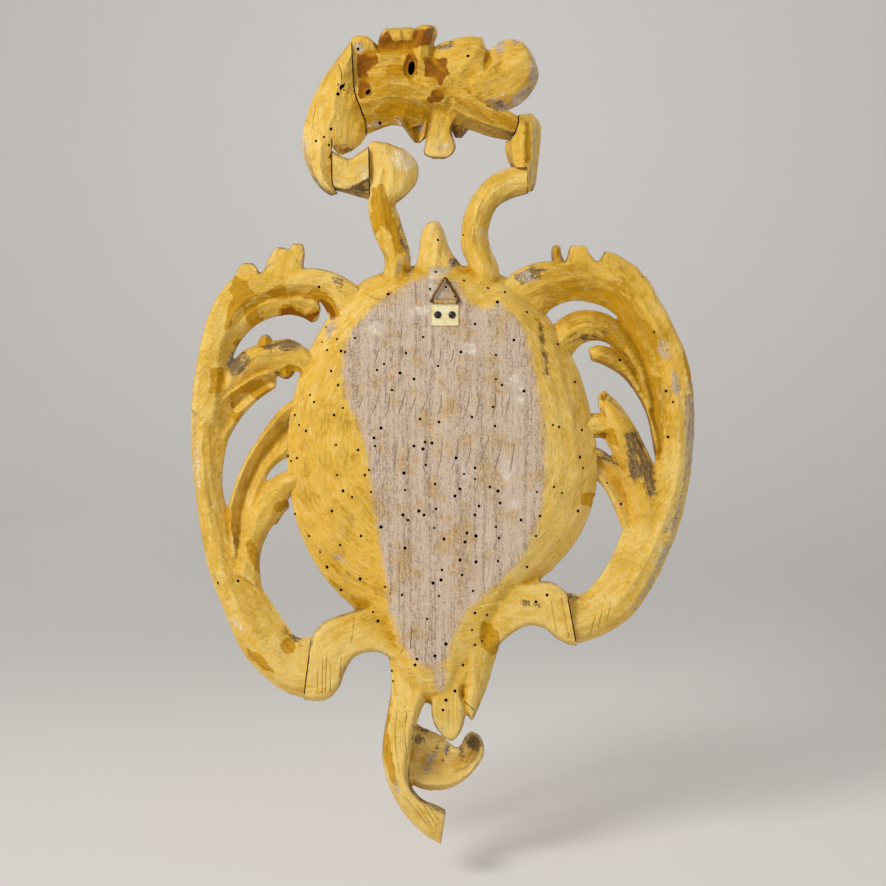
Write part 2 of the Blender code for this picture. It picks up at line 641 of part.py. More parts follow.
def screw_bores():
    """The bores in the shield that the screws' shanks stand in."""
    radius = SCREW_SHANK_RADIUS + SCREW_CLEARANCE
    profile = ((radius, FLAT_BACK_Y + 0.01), (radius, SCREW_TIP_Y - SCREW_CLEARANCE))
    return [lathe(f"screw bore {i}", profile, *at, helper=True) for i, at in enumerate(screw_places())]


def make_hanger_plate():
    """Sheet brass rolled into a knuckle at its upper edge, pierced for two screws."""
    front = PLATE_BACK_Y + SHEET
    shoulder = -HINGE_DROP - KNUCKLE_OUTSIDE - KNUCKLE_END_GAP
    half = knuckle_length() / 2
    plate = box(
        "hanger_plate",
        (-PLATE_WIDTH / 2, PLATE_BACK_Y, -HINGE_DROP - PLATE_LENGTH),
        (PLATE_WIDTH / 2, front, shoulder),
    )
    neck = box(
        "plate neck",
        (KNUCKLE_END_GAP - half, PLATE_BACK_Y, shoulder - SHEET),
        (half - KNUCKLE_END_GAP, front, -HINGE_DROP - KNUCKLE_INSIDE / 2),
        helper=True,
    )
    knuckle = hinge_cylinder("knuckle", KNUCKLE_OUTSIDE, 2 * half)
    wire_way = hinge_cylinder("wire way", KNUCKLE_INSIDE, 2 * half + PLATE_WIDTH)
    radius = SCREW_SHANK_RADIUS + SCREW_CLEARANCE
    through = ((radius, PLATE_BACK_Y - SHEET), (radius, front + SHEET))
    holes = [lathe(f"plate hole {i}", through, *at, helper=True) for i, at in enumerate(screw_places())]
    boolean(plate, "UNION", [neck, knuckle])
    boolean(plate, "DIFFERENCE", [wire_way, *holes])
    plate.data.materials.append(material("brass sheet", BRASS_SHEET))
    return plate


def make_hanger_ring():
    """The wire triangle, standing up against the back, its base bar in the knuckle."""
    corners = [
        np.array(corner)
        for corner in ((-RING_WIDTH / 2, 0.0), (RING_WIDTH / 2, 0.0), (0.0, RING_HEIGHT))
    ]
    points = []
    for i, corner in enumerate(corners):
        before = corners[i - 1] - corner
        after = corners[(i + 1) % 3] - corner
        start = corner + before / np.hypot(*before) * RING_BEND
        end = corner + after / np.hypot(*after) * RING_BEND
        for t in (0.0, 0.25, 0.5, 0.75, 1.0):
            points.append((1 - t) ** 2 * start + 2 * t * (1 - t) * corner + t**2 * end)
    curve = bpy.data.curves.new("hanger_ring", "CURVE")
    curve.dimensions = "3D"
    curve.bevel_depth = WIRE_RADIUS
    curve.bevel_resolution = 2
    spline = curve.splines.new("POLY")
    spline.points.add(len(points) - 1)
    for point, (x, z) in zip(spline.points, points):
        point.co = (x, 0.0, z, 1.0)
    spline.use_cyclic_u = True
    ring = bpy.data.objects.new("hanger_ring", curve)
    bpy.context.scene.collection.objects.link(ring)
    ring.location = (0.0, 0.0, -HINGE_DROP)
    curve.materials.append(material("bronze wire", BRONZE_WIRE))
    return ring


def make_screw(name, x, z, slot_angle):
    """A round-headed wood screw with a slot, its shank clear of the plate and the bore."""
    profile = [
        (SCREW_POINT_RADIUS, SCREW_TIP_Y),
        (SCREW_SHANK_RADIUS, SCREW_TIP_Y + SCREW_POINT_LENGTH),
        (SCREW_SHANK_RADIUS, SCREW_SEAT_Y),
    ]
    for lift in (0.0, 0.45, 0.8, 1.0):
        radius = SCREW_HEAD_RADIUS * math.sqrt(1 - 0.9 * lift**2)
        profile.append((radius, SCREW_SEAT_Y + lift * SCREW_HEAD_HEIGHT))
    screw = lathe(name, profile, x, z)
    slot = box(
        f"{name} slot",
        (-2 * SCREW_HEAD_RADIUS, -SLOT_DEPTH, -SLOT_WIDTH / 2),
        (2 * SCREW_HEAD_RADIUS, SLOT_DEPTH, SLOT_WIDTH / 2),
        helper=True,
    )
    slot.location = (x, SCREW_SEAT_Y + SCREW_HEAD_HEIGHT, z)
    slot.rotation_euler = (0.0, slot_angle, 0.0)
    boolean(screw, "DIFFERENCE", [slot])
    screw.data.materials.append(material("dark steel", DARK_STEEL))
    return screw


def main():
    clear_scene()
    make_shield()
    make_right_wing()
    make_left_wing()
    make_crest()
    make_crest_limb()
    make_crest_block()
    make_crest_link()
    make_hanger_plate()
    make_hanger_ring()
    (left_x, left_z), (right_x, right_z) = screw_places()
    make_screw("left_screw", left_x, left_z, math.radians(35))
    make_screw("right_screw", right_x, right_z, math.radians(-20))


main()
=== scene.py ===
"""Looks of the carved and gilt wall plaque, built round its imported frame.

Each wooden piece is carved again at a fine scale. Closed limbs, laid out on a carver's
template of squares seen from behind, are fused by a voxel remesh and worked over with
gouge marks, then cut by joints, screw bores, cracks and beetle holes. The colours are laid
out on the same template, as distances from the edges of painted, stained and bare places.
"""

import math
import random
from types import SimpleNamespace

import bmesh
import bpy
import numpy as np
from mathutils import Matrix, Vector
from mathutils.bvhtree import BVHTree
from mathutils.kdtree import KDTree


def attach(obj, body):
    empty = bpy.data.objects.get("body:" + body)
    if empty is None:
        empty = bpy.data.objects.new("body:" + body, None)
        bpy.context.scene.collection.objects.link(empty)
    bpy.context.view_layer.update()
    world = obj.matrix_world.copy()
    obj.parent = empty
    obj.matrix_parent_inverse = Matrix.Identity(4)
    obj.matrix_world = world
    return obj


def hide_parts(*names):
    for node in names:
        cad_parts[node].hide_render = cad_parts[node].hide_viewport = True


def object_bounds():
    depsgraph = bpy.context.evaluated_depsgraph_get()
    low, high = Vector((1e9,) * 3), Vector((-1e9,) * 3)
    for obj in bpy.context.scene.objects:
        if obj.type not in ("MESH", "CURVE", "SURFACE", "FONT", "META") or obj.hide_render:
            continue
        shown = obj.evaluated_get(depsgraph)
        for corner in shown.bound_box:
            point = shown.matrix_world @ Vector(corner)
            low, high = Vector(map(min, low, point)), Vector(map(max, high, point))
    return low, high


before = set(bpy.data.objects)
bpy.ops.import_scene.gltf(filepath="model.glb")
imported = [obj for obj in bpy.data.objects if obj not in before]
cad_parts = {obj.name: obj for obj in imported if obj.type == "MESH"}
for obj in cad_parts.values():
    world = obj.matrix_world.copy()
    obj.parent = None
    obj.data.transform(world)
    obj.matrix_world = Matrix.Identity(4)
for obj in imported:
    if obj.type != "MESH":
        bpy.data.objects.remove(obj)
CAD_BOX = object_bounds()

# The template: u runs to the right and v runs down, as seen from behind. Depths are
# measured from the flat back towards the gilt front.
HEIGHT = 0.600
TEMPLATE_ROWS = 822
SQUARE = HEIGHT / TEMPLATE_ROWS
TEMPLATE_MIDDLE = (443.0, 443.0)
HOOK_SQUARE = (445.0, 279.0)
EYE_DISTANCE = 0.85
FLAT_BACK_Y = -0.00205
MILLIMETRE = 0.001
HOOK_ACROSS, HOOK_DOWN = (
    (hook - middle) * SQUARE for hook, middle in zip(HOOK_SQUARE, TEMPLATE_MIDDLE)
)

# How finely the pieces are fused, and how much the fused skin is then softened.
SHIELD_VOXEL = 0.00165
WING_VOXEL = 0.0011
CREST_VOXEL = 0.0009
SMALL_VOXEL = 0.0008
SOFTENING = 0.5

# Depths of the boards: the back ridge, the thin edge and the front crown.
SHIELD_EDGE = 0.019
SHIELD_PLATFORM = 0.030
BOSS_RIM_HEIGHT = 0.008
BOSS_DOME_HEIGHT = 0.017
WING_BOARD = (0.010, 0.020, 0.034)
LEAF_BOARD = (0.013, 0.021, 0.032)
LUG_BOARD = (0.006, 0.016, 0.034)
NECK_BOARD = (0.004, 0.013, 0.027)
TAIL_BOARD = (0.004, 0.014, 0.029)
CURL_BOARD = (0.020, 0.030, 0.042)
CREST_BOARD = (0.005, 0.019, 0.036)
LOBE_BOARD = (0.011, 0.021, 0.037)
TOOTH_BOARD = (0.0107, 0.021, 0.033)

# Cross-sections of a limb: the share of the way across, and the share of the way from the
# thin edge to the back ridge or the front crown.
ROOF_BACK = ((0.0, 0.0), (0.2, 0.68), (0.46, 1.0), (0.78, 0.72), (1.0, 0.0))
SLANT_BACK = ((0.0, 0.0), (0.14, 0.72), (0.34, 1.0), (0.68, 0.55), (1.0, 0.0))
BAND_BACK = ((0.0, 0.45), (0.06, 0.92), (0.26, 1.0), (0.56, 0.97), (0.76, 0.5), (1.0, 0.0))
ARCH_BACK = ((0.0, 0.45), (0.06, 0.92), (0.36, 1.0), (0.64, 0.62), (1.0, 0.0))
TAIL_BACK = ((0.0, 0.0), (0.16, 0.5), (0.42, 0.8), (0.8, 1.0), (1.0, 0.3))
ROOT_BACK = ((0.0, 0.0), (0.1, 0.6), (0.3, 1.0), (0.7, 1.0), (0.9, 0.6), (1.0, 0.0))
RAMP_BACK = ((0.0, 0.7), (0.12, 1.0), (0.55, 0.62), (1.0, 0.0))
FLAT_BACK = ((0.0, 0.35), (0.08, 0.96), (0.5, 1.0), (0.92, 0.96), (1.0, 0.35))
SCOOPED_BACK = ((0.0, 0.2), (0.1, 0.95), (0.45, -0.3), (0.82, 0.5), (1.0, 0.1))
HOLLOW_BACK = ((0.0, 0.0), (0.12, 0.5), (0.38, 0.3), (0.62, 1.0), (1.0, 0.0))
FLUTED_FRONT = ((0.84, 0.95), (0.5, 0.55), (0.16, 0.95))
ROUND_FRONT = ((0.9, 0.55), (0.64, 1.0), (0.36, 1.0), (0.1, 0.55))
TIP_SHARE = 0.22
TIP_THICKNESS = 0.3
STATIONS_PER_PAIR = 5
POINTS_PER_FACET = 3


def limb(
    pairs, board, back=ROOF_BACK, front=FLUTED_FRONT, tips=(0, 1), sink=(0, 0), rows=(0, 900),
):
    """A carved limb between two edges. Each pair holds a point of either edge, in squares.

    Where two limbs overlap, the work follows the one that owns that row of the template.
    """
    return SimpleNamespace(
        pairs=pairs, board=board, back=back, front=front, tips=tips, sink=sink, rows=rows,
    )


SHIELD_LIMBS = (
    limb((  # right neck
        (378, 300, 424, 300), (383, 272, 410, 276), (384, 258, 411, 258), (377, 242, 407, 240),
        (371, 226, 401, 222), (368, 208, 396, 207), (369, 190, 392, 192), (372, 166, 392, 168),
    ), NECK_BOARD, tips=(0, 0)),
    limb((  # knob
        (374, 206, 399, 202), (369, 192, 409, 193), (367, 176, 418, 181), (366, 160, 418, 163),
        (366, 147, 406, 150), (372, 141, 388, 143),
    ), NECK_BOARD, tips=(1, 1), front=ROUND_FRONT),
    limb((  # finial
        (400, 292, 482, 292), (412, 272, 468, 272), (418, 255, 453, 254), (420, 238, 447, 240),
        (424, 226, 443, 228), (431, 221, 438, 221),
    ), NECK_BOARD, front=ROUND_FRONT, sink=(0, 3)),
    limb((  # left neck
        (450, 306, 496, 306), (469, 274, 500, 272), (461, 248, 491, 248), (461, 228, 489, 230),
        (467, 206, 496, 209), (481, 184, 509, 200), (503, 169, 521, 196), (524, 166.6, 534, 192),
        (542, 166, 548, 188),
    ), NECK_BOARD, tips=(0, 0)),
    limb((  # right lug
        (392, 590, 408, 672), (362, 607, 380, 653), (340, 615, 357, 656), (323, 622, 346, 670),
        (313, 634, 339, 688), (308, 650, 324, 701), (296, 655, 296, 699),
    ), LUG_BOARD, FLAT_BACK, tips=(0, 0)),
    limb((  # left lug
        (498, 588, 480, 664), (526, 583, 507, 638), (548, 581, 527, 626), (562, 588, 544, 628),
        (571, 598, 557, 639), (578, 600, 573, 646), (592, 598, 592, 645),
    ), LUG_BOARD, FLAT_BACK, tips=(0, 0)),
    limb((  # tail root
        (380, 600, 512, 600), (385, 630, 505, 628), (388, 655, 497, 655), (390, 672, 491, 672),
        (391, 684, 488, 684),
    ), TAIL_BOARD, ROOT_BACK, tips=(0, 0), sink=(5, 0)),
    limb((  # tail leaf
        (396, 640, 442, 640), (391, 672, 437, 679), (390, 695, 427, 698), (385, 725, 417, 723),
        (382, 750, 412, 750), (386, 778, 409, 778), (400, 808, 420, 797), (421, 832, 437, 805),
        (441, 845, 446, 810),
    ), TAIL_BOARD, TAIL_BACK, tips=(0, 0)),
    limb((  # middle leaf
        (428, 666, 472, 666), (434, 690, 461, 690), (431, 708, 465, 708), (434, 724, 464, 724),
        (443, 736, 458, 736), (450, 741, 453, 741),
    ), TAIL_BOARD, FLAT_BACK),
    limb((  # side leaf
        (450, 650, 498, 648), (459, 682, 489, 682), (462, 700, 482, 700), (467, 713, 476, 713),
        (471, 720, 473, 720),
    ), TAIL_BOARD, sink=(0, 0, 6)),
    limb((  # curl
        (396, 762, 402, 712), (412, 785, 422, 726), (437, 791, 438, 733), (458, 785, 449, 742),
        (474, 771, 457, 748), (484, 753, 461, 744), (481, 737, 464, 738), (472, 731, 468, 733),
    ), CURL_BOARD, SCOOPED_BACK, sink=(-10, 0, 0, -8)),
)

RIGHT_ARCH_ROW = 362
LEFT_ARCH_ROW = 376
RIGHT_WING_LIMBS = (
    limb((  # right_wing
        (322, 702, 322, 632), (287, 693, 298, 637), (263, 676, 284, 620), (240, 648, 269, 598),
        (222, 606, 255, 574), (208, 568, 243, 545), (200, 528, 231, 518), (195, 490, 223, 490),
        (191, 445, 224, 462), (191, 410, 229, 435), (195, 370, 232, 400), (203, 332, 231, 368),
    ), WING_BOARD, SLANT_BACK, tips=(0, 0), rows=(RIGHT_ARCH_ROW, 900)),
    limb((  # arch
        (191, 410, 229, 435), (195, 370, 232, 400), (203, 332, 231, 368), (214, 302, 237, 345),
        (232, 280, 250, 322), (258, 273, 268, 306), (285, 271, 287, 299), (312, 268, 306, 297),
        (336, 273, 320, 302), (356, 285, 330, 318), (370, 300, 344, 332),
    ), WING_BOARD, BAND_BACK, tips=(0, 0), rows=(0, RIGHT_ARCH_ROW)),
    limb((  # first tooth
        (226, 300, 264, 292), (234, 277, 261, 278), (239.5, 266, 257.5, 269), (244, 263, 253, 263),
    ), TOOTH_BOARD, FLAT_BACK),
    limb((  # second tooth
        (256, 288, 300, 288), (265, 267, 300, 266), (271, 254, 294, 254), (277, 247.5, 285, 247.5),
    ), TOOTH_BOARD, FLAT_BACK),
    limb((  # third tooth
        (280, 284, 302, 282), (285, 262, 304, 263), (289, 250, 305, 253), (293, 243.5, 303, 244),
    ), TOOTH_BOARD, FLAT_BACK, sink=(1, 1)),
    limb((  # inner curl
        (208, 392, 226, 392), (220, 350, 235, 352), (238, 322, 251, 330), (258, 304, 268, 319),
        (279, 297, 289, 315), (299, 296, 303, 318), (315, 299, 312, 323), (321, 308, 318, 320),
    ), LEAF_BOARD, RAMP_BACK, sink=(3, 1, 3)),
    limb((  # second branch
        (210, 400, 224, 412), (227, 370, 245, 388), (243, 351, 262, 374), (268, 342, 279, 371),
        (290, 339, 296, 372), (308, 349, 306, 376), (322, 358, 318, 384),
    ), LEAF_BOARD, SLANT_BACK, tips=(0, 0)),
    limb((  # branch bud
        (254, 354, 276, 352), (258, 341, 273, 341), (263, 335, 268, 334),
    ), LEAF_BOARD, sink=(4, 4)),
    limb((  # branch drop
        (274, 364, 297, 366), (278, 375, 294, 374), (283, 379, 289, 379),
    ), LEAF_BOARD, sink=(8, 8)),
    limb((  # branch lobe
        (208, 408, 224, 448), (232, 388, 240, 420), (255, 374, 255, 403), (270, 370, 268, 393),
        (277, 374, 276, 388),
    ), LEAF_BOARD, SCOOPED_BACK, sink=(0, 3)),
    limb((  # third leaf
        (232, 556, 252, 566), (228, 514, 252, 526), (232, 492, 259, 497), (241, 468, 266, 479),
        (253, 446, 274, 467), (267, 425, 287, 458), (282, 407, 300, 452), (300, 396, 312, 448),
    ), LEAF_BOARD, SCOOPED_BACK, tips=(0, 0), sink=(-3, 4)),
    limb((  # fourth leaf
        (226, 566, 262, 590), (244, 524, 260, 560), (252, 500, 266, 538), (263, 484, 277, 520),
        (276, 475, 286, 504), (290, 469, 293, 494), (304, 466, 304, 490),
    ), LEAF_BOARD, tips=(0, 0), sink=(-3, 2)),
    limb((  # fourth leaf drop
        (268, 512, 276, 526), (280, 502, 285, 512), (288, 499, 290, 507),
    ), LEAF_BOARD, SCOOPED_BACK, sink=(6, 8)),
)

LEFT_WING_LIMBS = (
    limb((  # left_wing
        (554, 647, 554, 586), (580, 643, 580, 594), (606, 634, 598, 578), (632, 616, 611, 557),
        (652, 588, 621, 534), (668, 555, 634, 508), (681, 520, 648, 482), (690, 480, 655, 458),
        (694, 435, 652, 428), (694, 395, 646, 396), (688, 360, 640, 362),
    ), WING_BOARD, SLANT_BACK, tips=(0, 0), rows=(LEFT_ARCH_ROW, 900)),
    limb((  # arch
        (694, 395, 646, 396), (688, 360, 640, 362), (675, 328, 630, 335), (660, 300, 617, 317),
        (646, 277, 603, 307), (622, 263, 590, 303), (595, 261, 577, 301), (565, 261, 564, 303),
        (538, 262, 552, 309), (515, 271, 542, 320), (498, 286, 528, 334),
    ), WING_BOARD, ARCH_BACK, tips=(0, 0), rows=(0, LEFT_ARCH_ROW)),
    limb((  # button
        (553, 270, 568, 270), (551, 255, 562, 254), (552, 246, 560, 245),
    ), WING_BOARD, sink=(4, 4)),
    limb((  # broad tooth
        (558, 274, 604, 274), (566, 259, 595, 260), (568.5, 250, 589, 252), (571, 245, 586, 246),
    ), TOOTH_BOARD, FLAT_BACK, tips=(0, 0)),
    limb((  # long tooth
        (590, 276, 648, 288), (599, 261, 640, 270), (603, 254, 630, 262.5), (605, 250.5, 618, 255.5),
    ), TOOTH_BOARD, FLAT_BACK, tips=(0, 0)),
    limb((  # upper leaf
        (656, 408, 644, 408), (645, 366, 636, 376), (630, 335, 622, 355), (612, 316, 606, 343),
        (592, 310, 592, 341), (575, 311, 580, 346), (560, 319, 570, 358), (546, 332, 556, 370),
    ), LEAF_BOARD, tips=(0, 0), sink=(0, 2)),
    limb((  # hooked leaf
        (662, 440, 655, 458), (643, 388, 646, 414), (622, 356, 627, 382), (602, 345, 607, 367),
        (588, 348, 591, 361),
    ), LEAF_BOARD, sink=(0, 2)),
    limb((  # lower leaf
        (668, 512, 630, 516), (655, 468, 621, 474), (644, 443, 611, 452), (632, 421, 604, 436),
        (620, 404, 603, 420), (609, 394, 601, 404),
    ), LEAF_BOARD, sink=(0, -3, 0)),
    limb((  # lower leaf tip
        (622, 420, 604, 418), (613, 401, 598, 404), (606, 390, 599, 393),
    ), LEAF_BOARD, SCOOPED_BACK, sink=(2, 4)),
    limb((  # bridge
        (624, 414, 622, 452), (606, 413, 606, 440), (593, 413, 595, 438), (578, 416, 582, 436),
    ), LEAF_BOARD, tips=(0, 0), sink=(3, 3)),
    limb((  # root leaf
        (648, 498, 628, 545), (623, 467, 617, 516), (611, 456, 607, 494), (599, 448, 598, 482),
        (584, 446, 582, 474),
    ), LEAF_BOARD, SCOOPED_BACK, tips=(0, 0), sink=(0, 6)),
)

CREST_LIMBS = (
    limb((  # crest
        (344, 44, 356, 140), (368, 47, 374, 132), (392, 46, 392, 126), (416, 49, 411, 128),
        (438, 60, 432, 122), (458, 80, 452, 124), (478, 96, 472, 131), (500, 107, 494, 138),
        (526, 119, 520, 142),
    ), CREST_BOARD, HOLLOW_BACK, tips=(0, 0)),
    limb((  # corner lobe
        (346, 64, 384, 62), (348, 47, 378, 48), (352, 38, 372, 40), (359, 35, 366, 36.5),
    ), LOBE_BOARD, FLAT_BACK, sink=(8, 0, 1)),
    limb((  # first lobe
        (374, 64, 404, 62), (378, 42, 404, 42), (381, 33, 403, 33), (386, 28, 399, 28),
    ), LOBE_BOARD, FLAT_BACK, sink=(9, 0, 3)),
    limb((  # second lobe
        (394, 64, 424, 64), (397, 42, 422, 42), (399, 32, 419, 32), (402, 27.5, 413, 27.5),
    ), LOBE_BOARD, FLAT_BACK, sink=(9, 2, 5)),
    limb((  # third lobe
        (404, 66, 434, 70), (410, 42, 434, 46), (414, 30, 437.5, 34), (421, 24, 435, 25),
    ), LOBE_BOARD),
    limb((  # long lobe
        (428, 58, 450, 112), (434, 47, 478, 104), (452, 39, 488, 84), (468, 36, 488, 64),
        (482, 37, 487, 50),
    ), LOBE_BOARD),
    limb((  # round lobe
        (464, 60, 478, 112), (480, 55, 500, 112), (493, 47, 518, 106), (503, 40, 532, 92),
        (514, 39, 539, 76), (524, 43, 535, 58),
    ), LOBE_BOARD, front=ROUND_FRONT, sink=(0, 3)),
    limb((  # first drop
        (386, 108, 440, 100), (402, 126, 431, 122), (409, 136, 427, 136), (415, 143, 420, 143),
    ), LOBE_BOARD, SCOOPED_BACK, sink=(0, 6)),
    limb((  # second drop
        (432, 104, 462, 112), (430, 124, 452, 128), (425, 144, 456, 146), (424, 154, 453, 154),
        (433, 159, 445, 159),
    ), LOBE_BOARD, FLAT_BACK),
    limb((  # hidden drop
        (444, 112, 476, 118), (450, 126, 470, 128), (455, 138, 462, 138),
    ), LOBE_BOARD, sink=(14, 14)),
)

CREST_LIMB_LIMBS = (
    limb((  # crest_limb
        (354, 38, 362, 44), (341, 53, 368, 62), (325, 75, 370, 86), (311, 102, 375, 112),
        (303, 130, 374, 138), (303, 154, 352, 155), (311, 175, 344, 176), (321, 189, 346, 188),
        (331, 196, 342, 193),
    ), CREST_BOARD, SLANT_BACK, tips=(1, 1)),
)

CREST_BLOCK_LIMBS = (
    limb((  # crest_block
        (322, 146, 322, 184), (340, 155, 340, 191), (350, 158, 352, 190), (360, 151, 362, 184),
        (378, 142, 378, 176),
    ), CREST_BOARD, FLAT_BACK, front=ROUND_FRONT, tips=(0, 0)),
    limb((  # block underside
        (320, 169, 320, 187), (345, 172, 345, 193), (358, 170, 358, 197), (384, 167, 384, 204),
    ), LOBE_BOARD, front=ROUND_FRONT, tips=(0, 0), sink=(6, 6)),
)

CREST_LINK_LIMBS = (
    limb((  # crest_link
        (500, 117, 532, 113), (506, 130, 541, 125), (505, 148, 540, 148), (509, 164, 538, 167),
        (520, 178, 536, 182), (521, 193, 533, 191),
    ), CREST_BOARD, front=ROUND_FRONT, tips=(0, 0)),
)
SHIELD_MIDDLE = np.array([443.0, 440.0])
SHIELD_OUTLINE = (
    (443, 264), (480, 268), (508, 277), (534, 299), (557, 329), (577, 366), (590, 408),
    (597, 455), (596, 492), (582, 532), (559, 563), (531, 588), (508, 615), (494, 655),
    (486, 690), (456, 704), (420, 702), (394, 682), (388, 655), (370, 627), (350, 605),
    (330, 585), (310, 555), (295, 518), (287, 470), (288, 428), (297, 382), (313, 342),
    (335, 308), (362, 281), (400, 268),
)
FLAT_OUTLINE = (
    (443, 282), (486, 300), (514, 318), (531, 352), (540, 400), (545, 450), (542, 490),
    (527, 535), (503, 572), (474, 605), (458, 640), (448, 680), (424, 684), (406, 640),
    (392, 600), (384, 555), (376, 505), (362, 455), (350, 410), (343, 370), (348, 340),
    (366, 314), (396, 292),
)
SHIELD_SIDES = 220
GADROONS = 36
GADROON_DEPTH = 0.0011
BOSS_MIDDLE = (443.0, 432.0)
BOSS_RADII = (112.0, 134.0)
BOSS_SIDES = 120
BACK_BEVEL = ((0.0, 0.0), (0.3, 0.12), (0.62, 0.4), (0.86, 0.74), (1.0, 1.0))
FRONT_SHOULDER = ((0.985, 0.45), (0.93, 0.9), (0.86, 1.0))
BOSS_RIM = ((1.13, -0.9), (1.11, 0.5), (1.05, 1.0), (0.99, 0.8), (0.955, 0.1))
BOSS_DOME = ((0.88, 0.25), (0.68, 0.66), (0.36, 0.90), (0.12, 0.94))

# Joint lines between the glued boards, in squares, and the side of them that is cut away.
JOINT_GAP = 0.00002
CUT_REACH = 40
SHORT_REACH = 30
JOINT_GROOVE = 0.0009
CUTTER_DEPTHS = (-0.03, 0.09)
RIGHT_WING_JOINT = ((313.5, 620), (302, 712))
LEFT_WING_JOINT = ((563, 572), (579, 658))
LIMB_JOINT = (
    (350, 20), (351.5, 43), (353, 70), (355, 92), (361, 109), (365.5, 122), (366.5, 137),
)
LIMB_FOOT = ((366.5, 130), (366.5, 136), (361, 144), (352, 151), (340, 156), (380, 170), (390, 130))
BLOCK_JOINT = ((332, 138), (332, 178), (334.5, 188), (341, 200))
BLOCK_BAY = (
    (374, 139), (362, 149.3), (353, 154), (346, 156), (338, 154), (332, 147), (332, 178),
    (334.5, 188), (341, 200), (376, 204),
)
LIMB_COVE = ((334, 145), (350, 144), (352, 156), (346, 162), (328, 158))
LIMB_COVE_DEPTH = 0.014
LINK_BAY = ((490, 167.4), (527.1, 167.0), (529.1, 210), (490, 210))
KNOB_JOINT = ((368.5, 138), (369.8, 197))
ARM_JOINT = ((519.5, 107), (519, 114), (517.5, 125), (513, 136), (508, 141), (500, 144))
NECK_JOINT = ((527, 156), (529, 204))
SHIELD_OVERLAP = 0.0006

# The hanger, in metres from the hook's bearing point inside the ring's apex.
WIRE_RADIUS = 0.0009
WIRE_SIDES = 16
WIRE_CLEARANCE = 0.00015
SHEET = 0.0007
GLUE_GAP = 0.0003
RING_WIDTH = 0.0215
RING_HEIGHT = 0.0175
BEND_POINTS = 13
RING_BEND = 0.0012
APEX_BEND = 0.0024
APEX_RISE = 0.0006
RING_END_GAP = 0.00005
PLATE_WIDTH = 0.0196
PLATE_LENGTH = 0.0175
SHEET_VOXEL = 0.00016
DENT_SIZE = 0.005
SHEET_DENT = 0.00005
FOLD_LINE = 0.0003
FOLD_REACH = 0.01
KNUCKLE_SIDES = 32
KNUCKLE_END_GAP = 0.0004
KNUCKLE_HALF = 0.00797
KNUCKLE_INSIDE = WIRE_RADIUS + WIRE_CLEARANCE
KNUCKLE_OUTSIDE = KNUCKLE_INSIDE + SHEET
HINGE_DROP = RING_HEIGHT - WIRE_RADIUS
PLATE_BACK_Y = FLAT_BACK_Y + GLUE_GAP
SCREW_PLACES = ((-0.0052, -0.0263), (0.0052, -0.0263))
SCREW_HEAD_RADIUS = 0.0027
SCREW_HEAD_HEIGHT = 0.0015
SCREW_HEAD_STEPS = 9
SCREW_HEAD_CROWN = 0.985
SCREW_HEAD_POWER = 2.4
SCREW_TIP_RADIUS = 0.0002
SCREW_SHANK_RADIUS = 0.0012
SCREW_SHANK_LENGTH = 0.0110
SCREW_POINT_LENGTH = 0.0030
SCREW_SEAT_Y = PLATE_BACK_Y + SHEET + GLUE_GAP
SCREW_TIP_Y = SCREW_SEAT_Y - SCREW_SHANK_LENGTH
SCREW_BORE = SCREW_SHANK_RADIUS + 0.0003
SCREW_BORE_TIP_Y = SCREW_TIP_Y - 0.0003
BORE_START_Y = 0.01
PLATE_BORE_SIDES = 24
SLOT_WIDTH = 0.0006
SLOT_DEPTH = 0.0006


def turns(count):
    """Evenly spaced angles round a circle."""
    return np.arange(count) / count * math.tau


def place(u, v, depth):
    """The points that the template shows at (u, v), at these depths."""
    spread = SQUARE * (EYE_DISTANCE + depth) / EYE_DISTANCE
    x = HOOK_ACROSS - (u - TEMPLATE_MIDDLE[0]) * spread
    z = HOOK_DOWN - (v - TEMPLATE_MIDDLE[1]) * spread
    return np.stack(np.broadcast_arrays(x, FLAT_BACK_Y - depth, z), axis=-1)


def on_template(points):
    """Where the template shows these points: u, v and depth."""
    depth = FLAT_BACK_Y - points[:, 1]
    spread = SQUARE * (EYE_DISTANCE + depth) / EYE_DISTANCE
    u = TEMPLATE_MIDDLE[0] + (HOOK_ACROSS - points[:, 0]) / spread
    v = TEMPLATE_MIDDLE[1] + (HOOK_DOWN - points[:, 2]) / spread
    return u, v, depth


def smooth_curve(points, count):
    """A Catmull-Rom curve through the points, read at an even spacing of its parameter."""
    p = np.asarray(points, float)
    p = np.vstack([2 * p[0] - p[1], p, 2 * p[-1] - p[-2]])
    spans = len(p) - 3
    s = np.linspace(0, spans, count)
    i = np.minimum(s.astype(int), spans - 1)
    t = (s - i)[:, None]
    a, b, c, d = p[i], p[i + 1], p[i + 2], p[i + 3]
    cubic = (3 * b - a - 3 * c + d) * t**3
    square = (2 * a - 5 * b + 4 * c - d) * t**2
    return 0.5 * (2 * b + (c - a) * t + square + cubic)


def straight_curve(points, steps):
    """The points joined by straight runs, each cut into this many steps."""
    p = np.asarray(points, float)
    s = np.linspace(0, len(p) - 1, steps * (len(p) - 1) + 1)
    return np.stack([np.interp(s, np.arange(len(p)), column) for column in p.T], axis=1)


def bands(spans, count):
    """Faces that join each ring of points to the next."""
    faces = []
    for i in range(spans):
        low, high = i * count, (i + 1) * count
        for j in range(count):
            k = (j + 1) % count
            faces.append((low + j, low + k, high + k, high + j))
    return faces


def skin(rings):
    """Points and faces of a closed skin over rings with as many points each."""
    rings = np.asarray(rings, float)
    spans, count = len(rings) - 1, rings.shape[1]
    caps = [tuple(range(count))[::-1], tuple(range(spans * count, (spans + 1) * count))]
    return rings.reshape(-1, 3), bands(spans, count) + caps


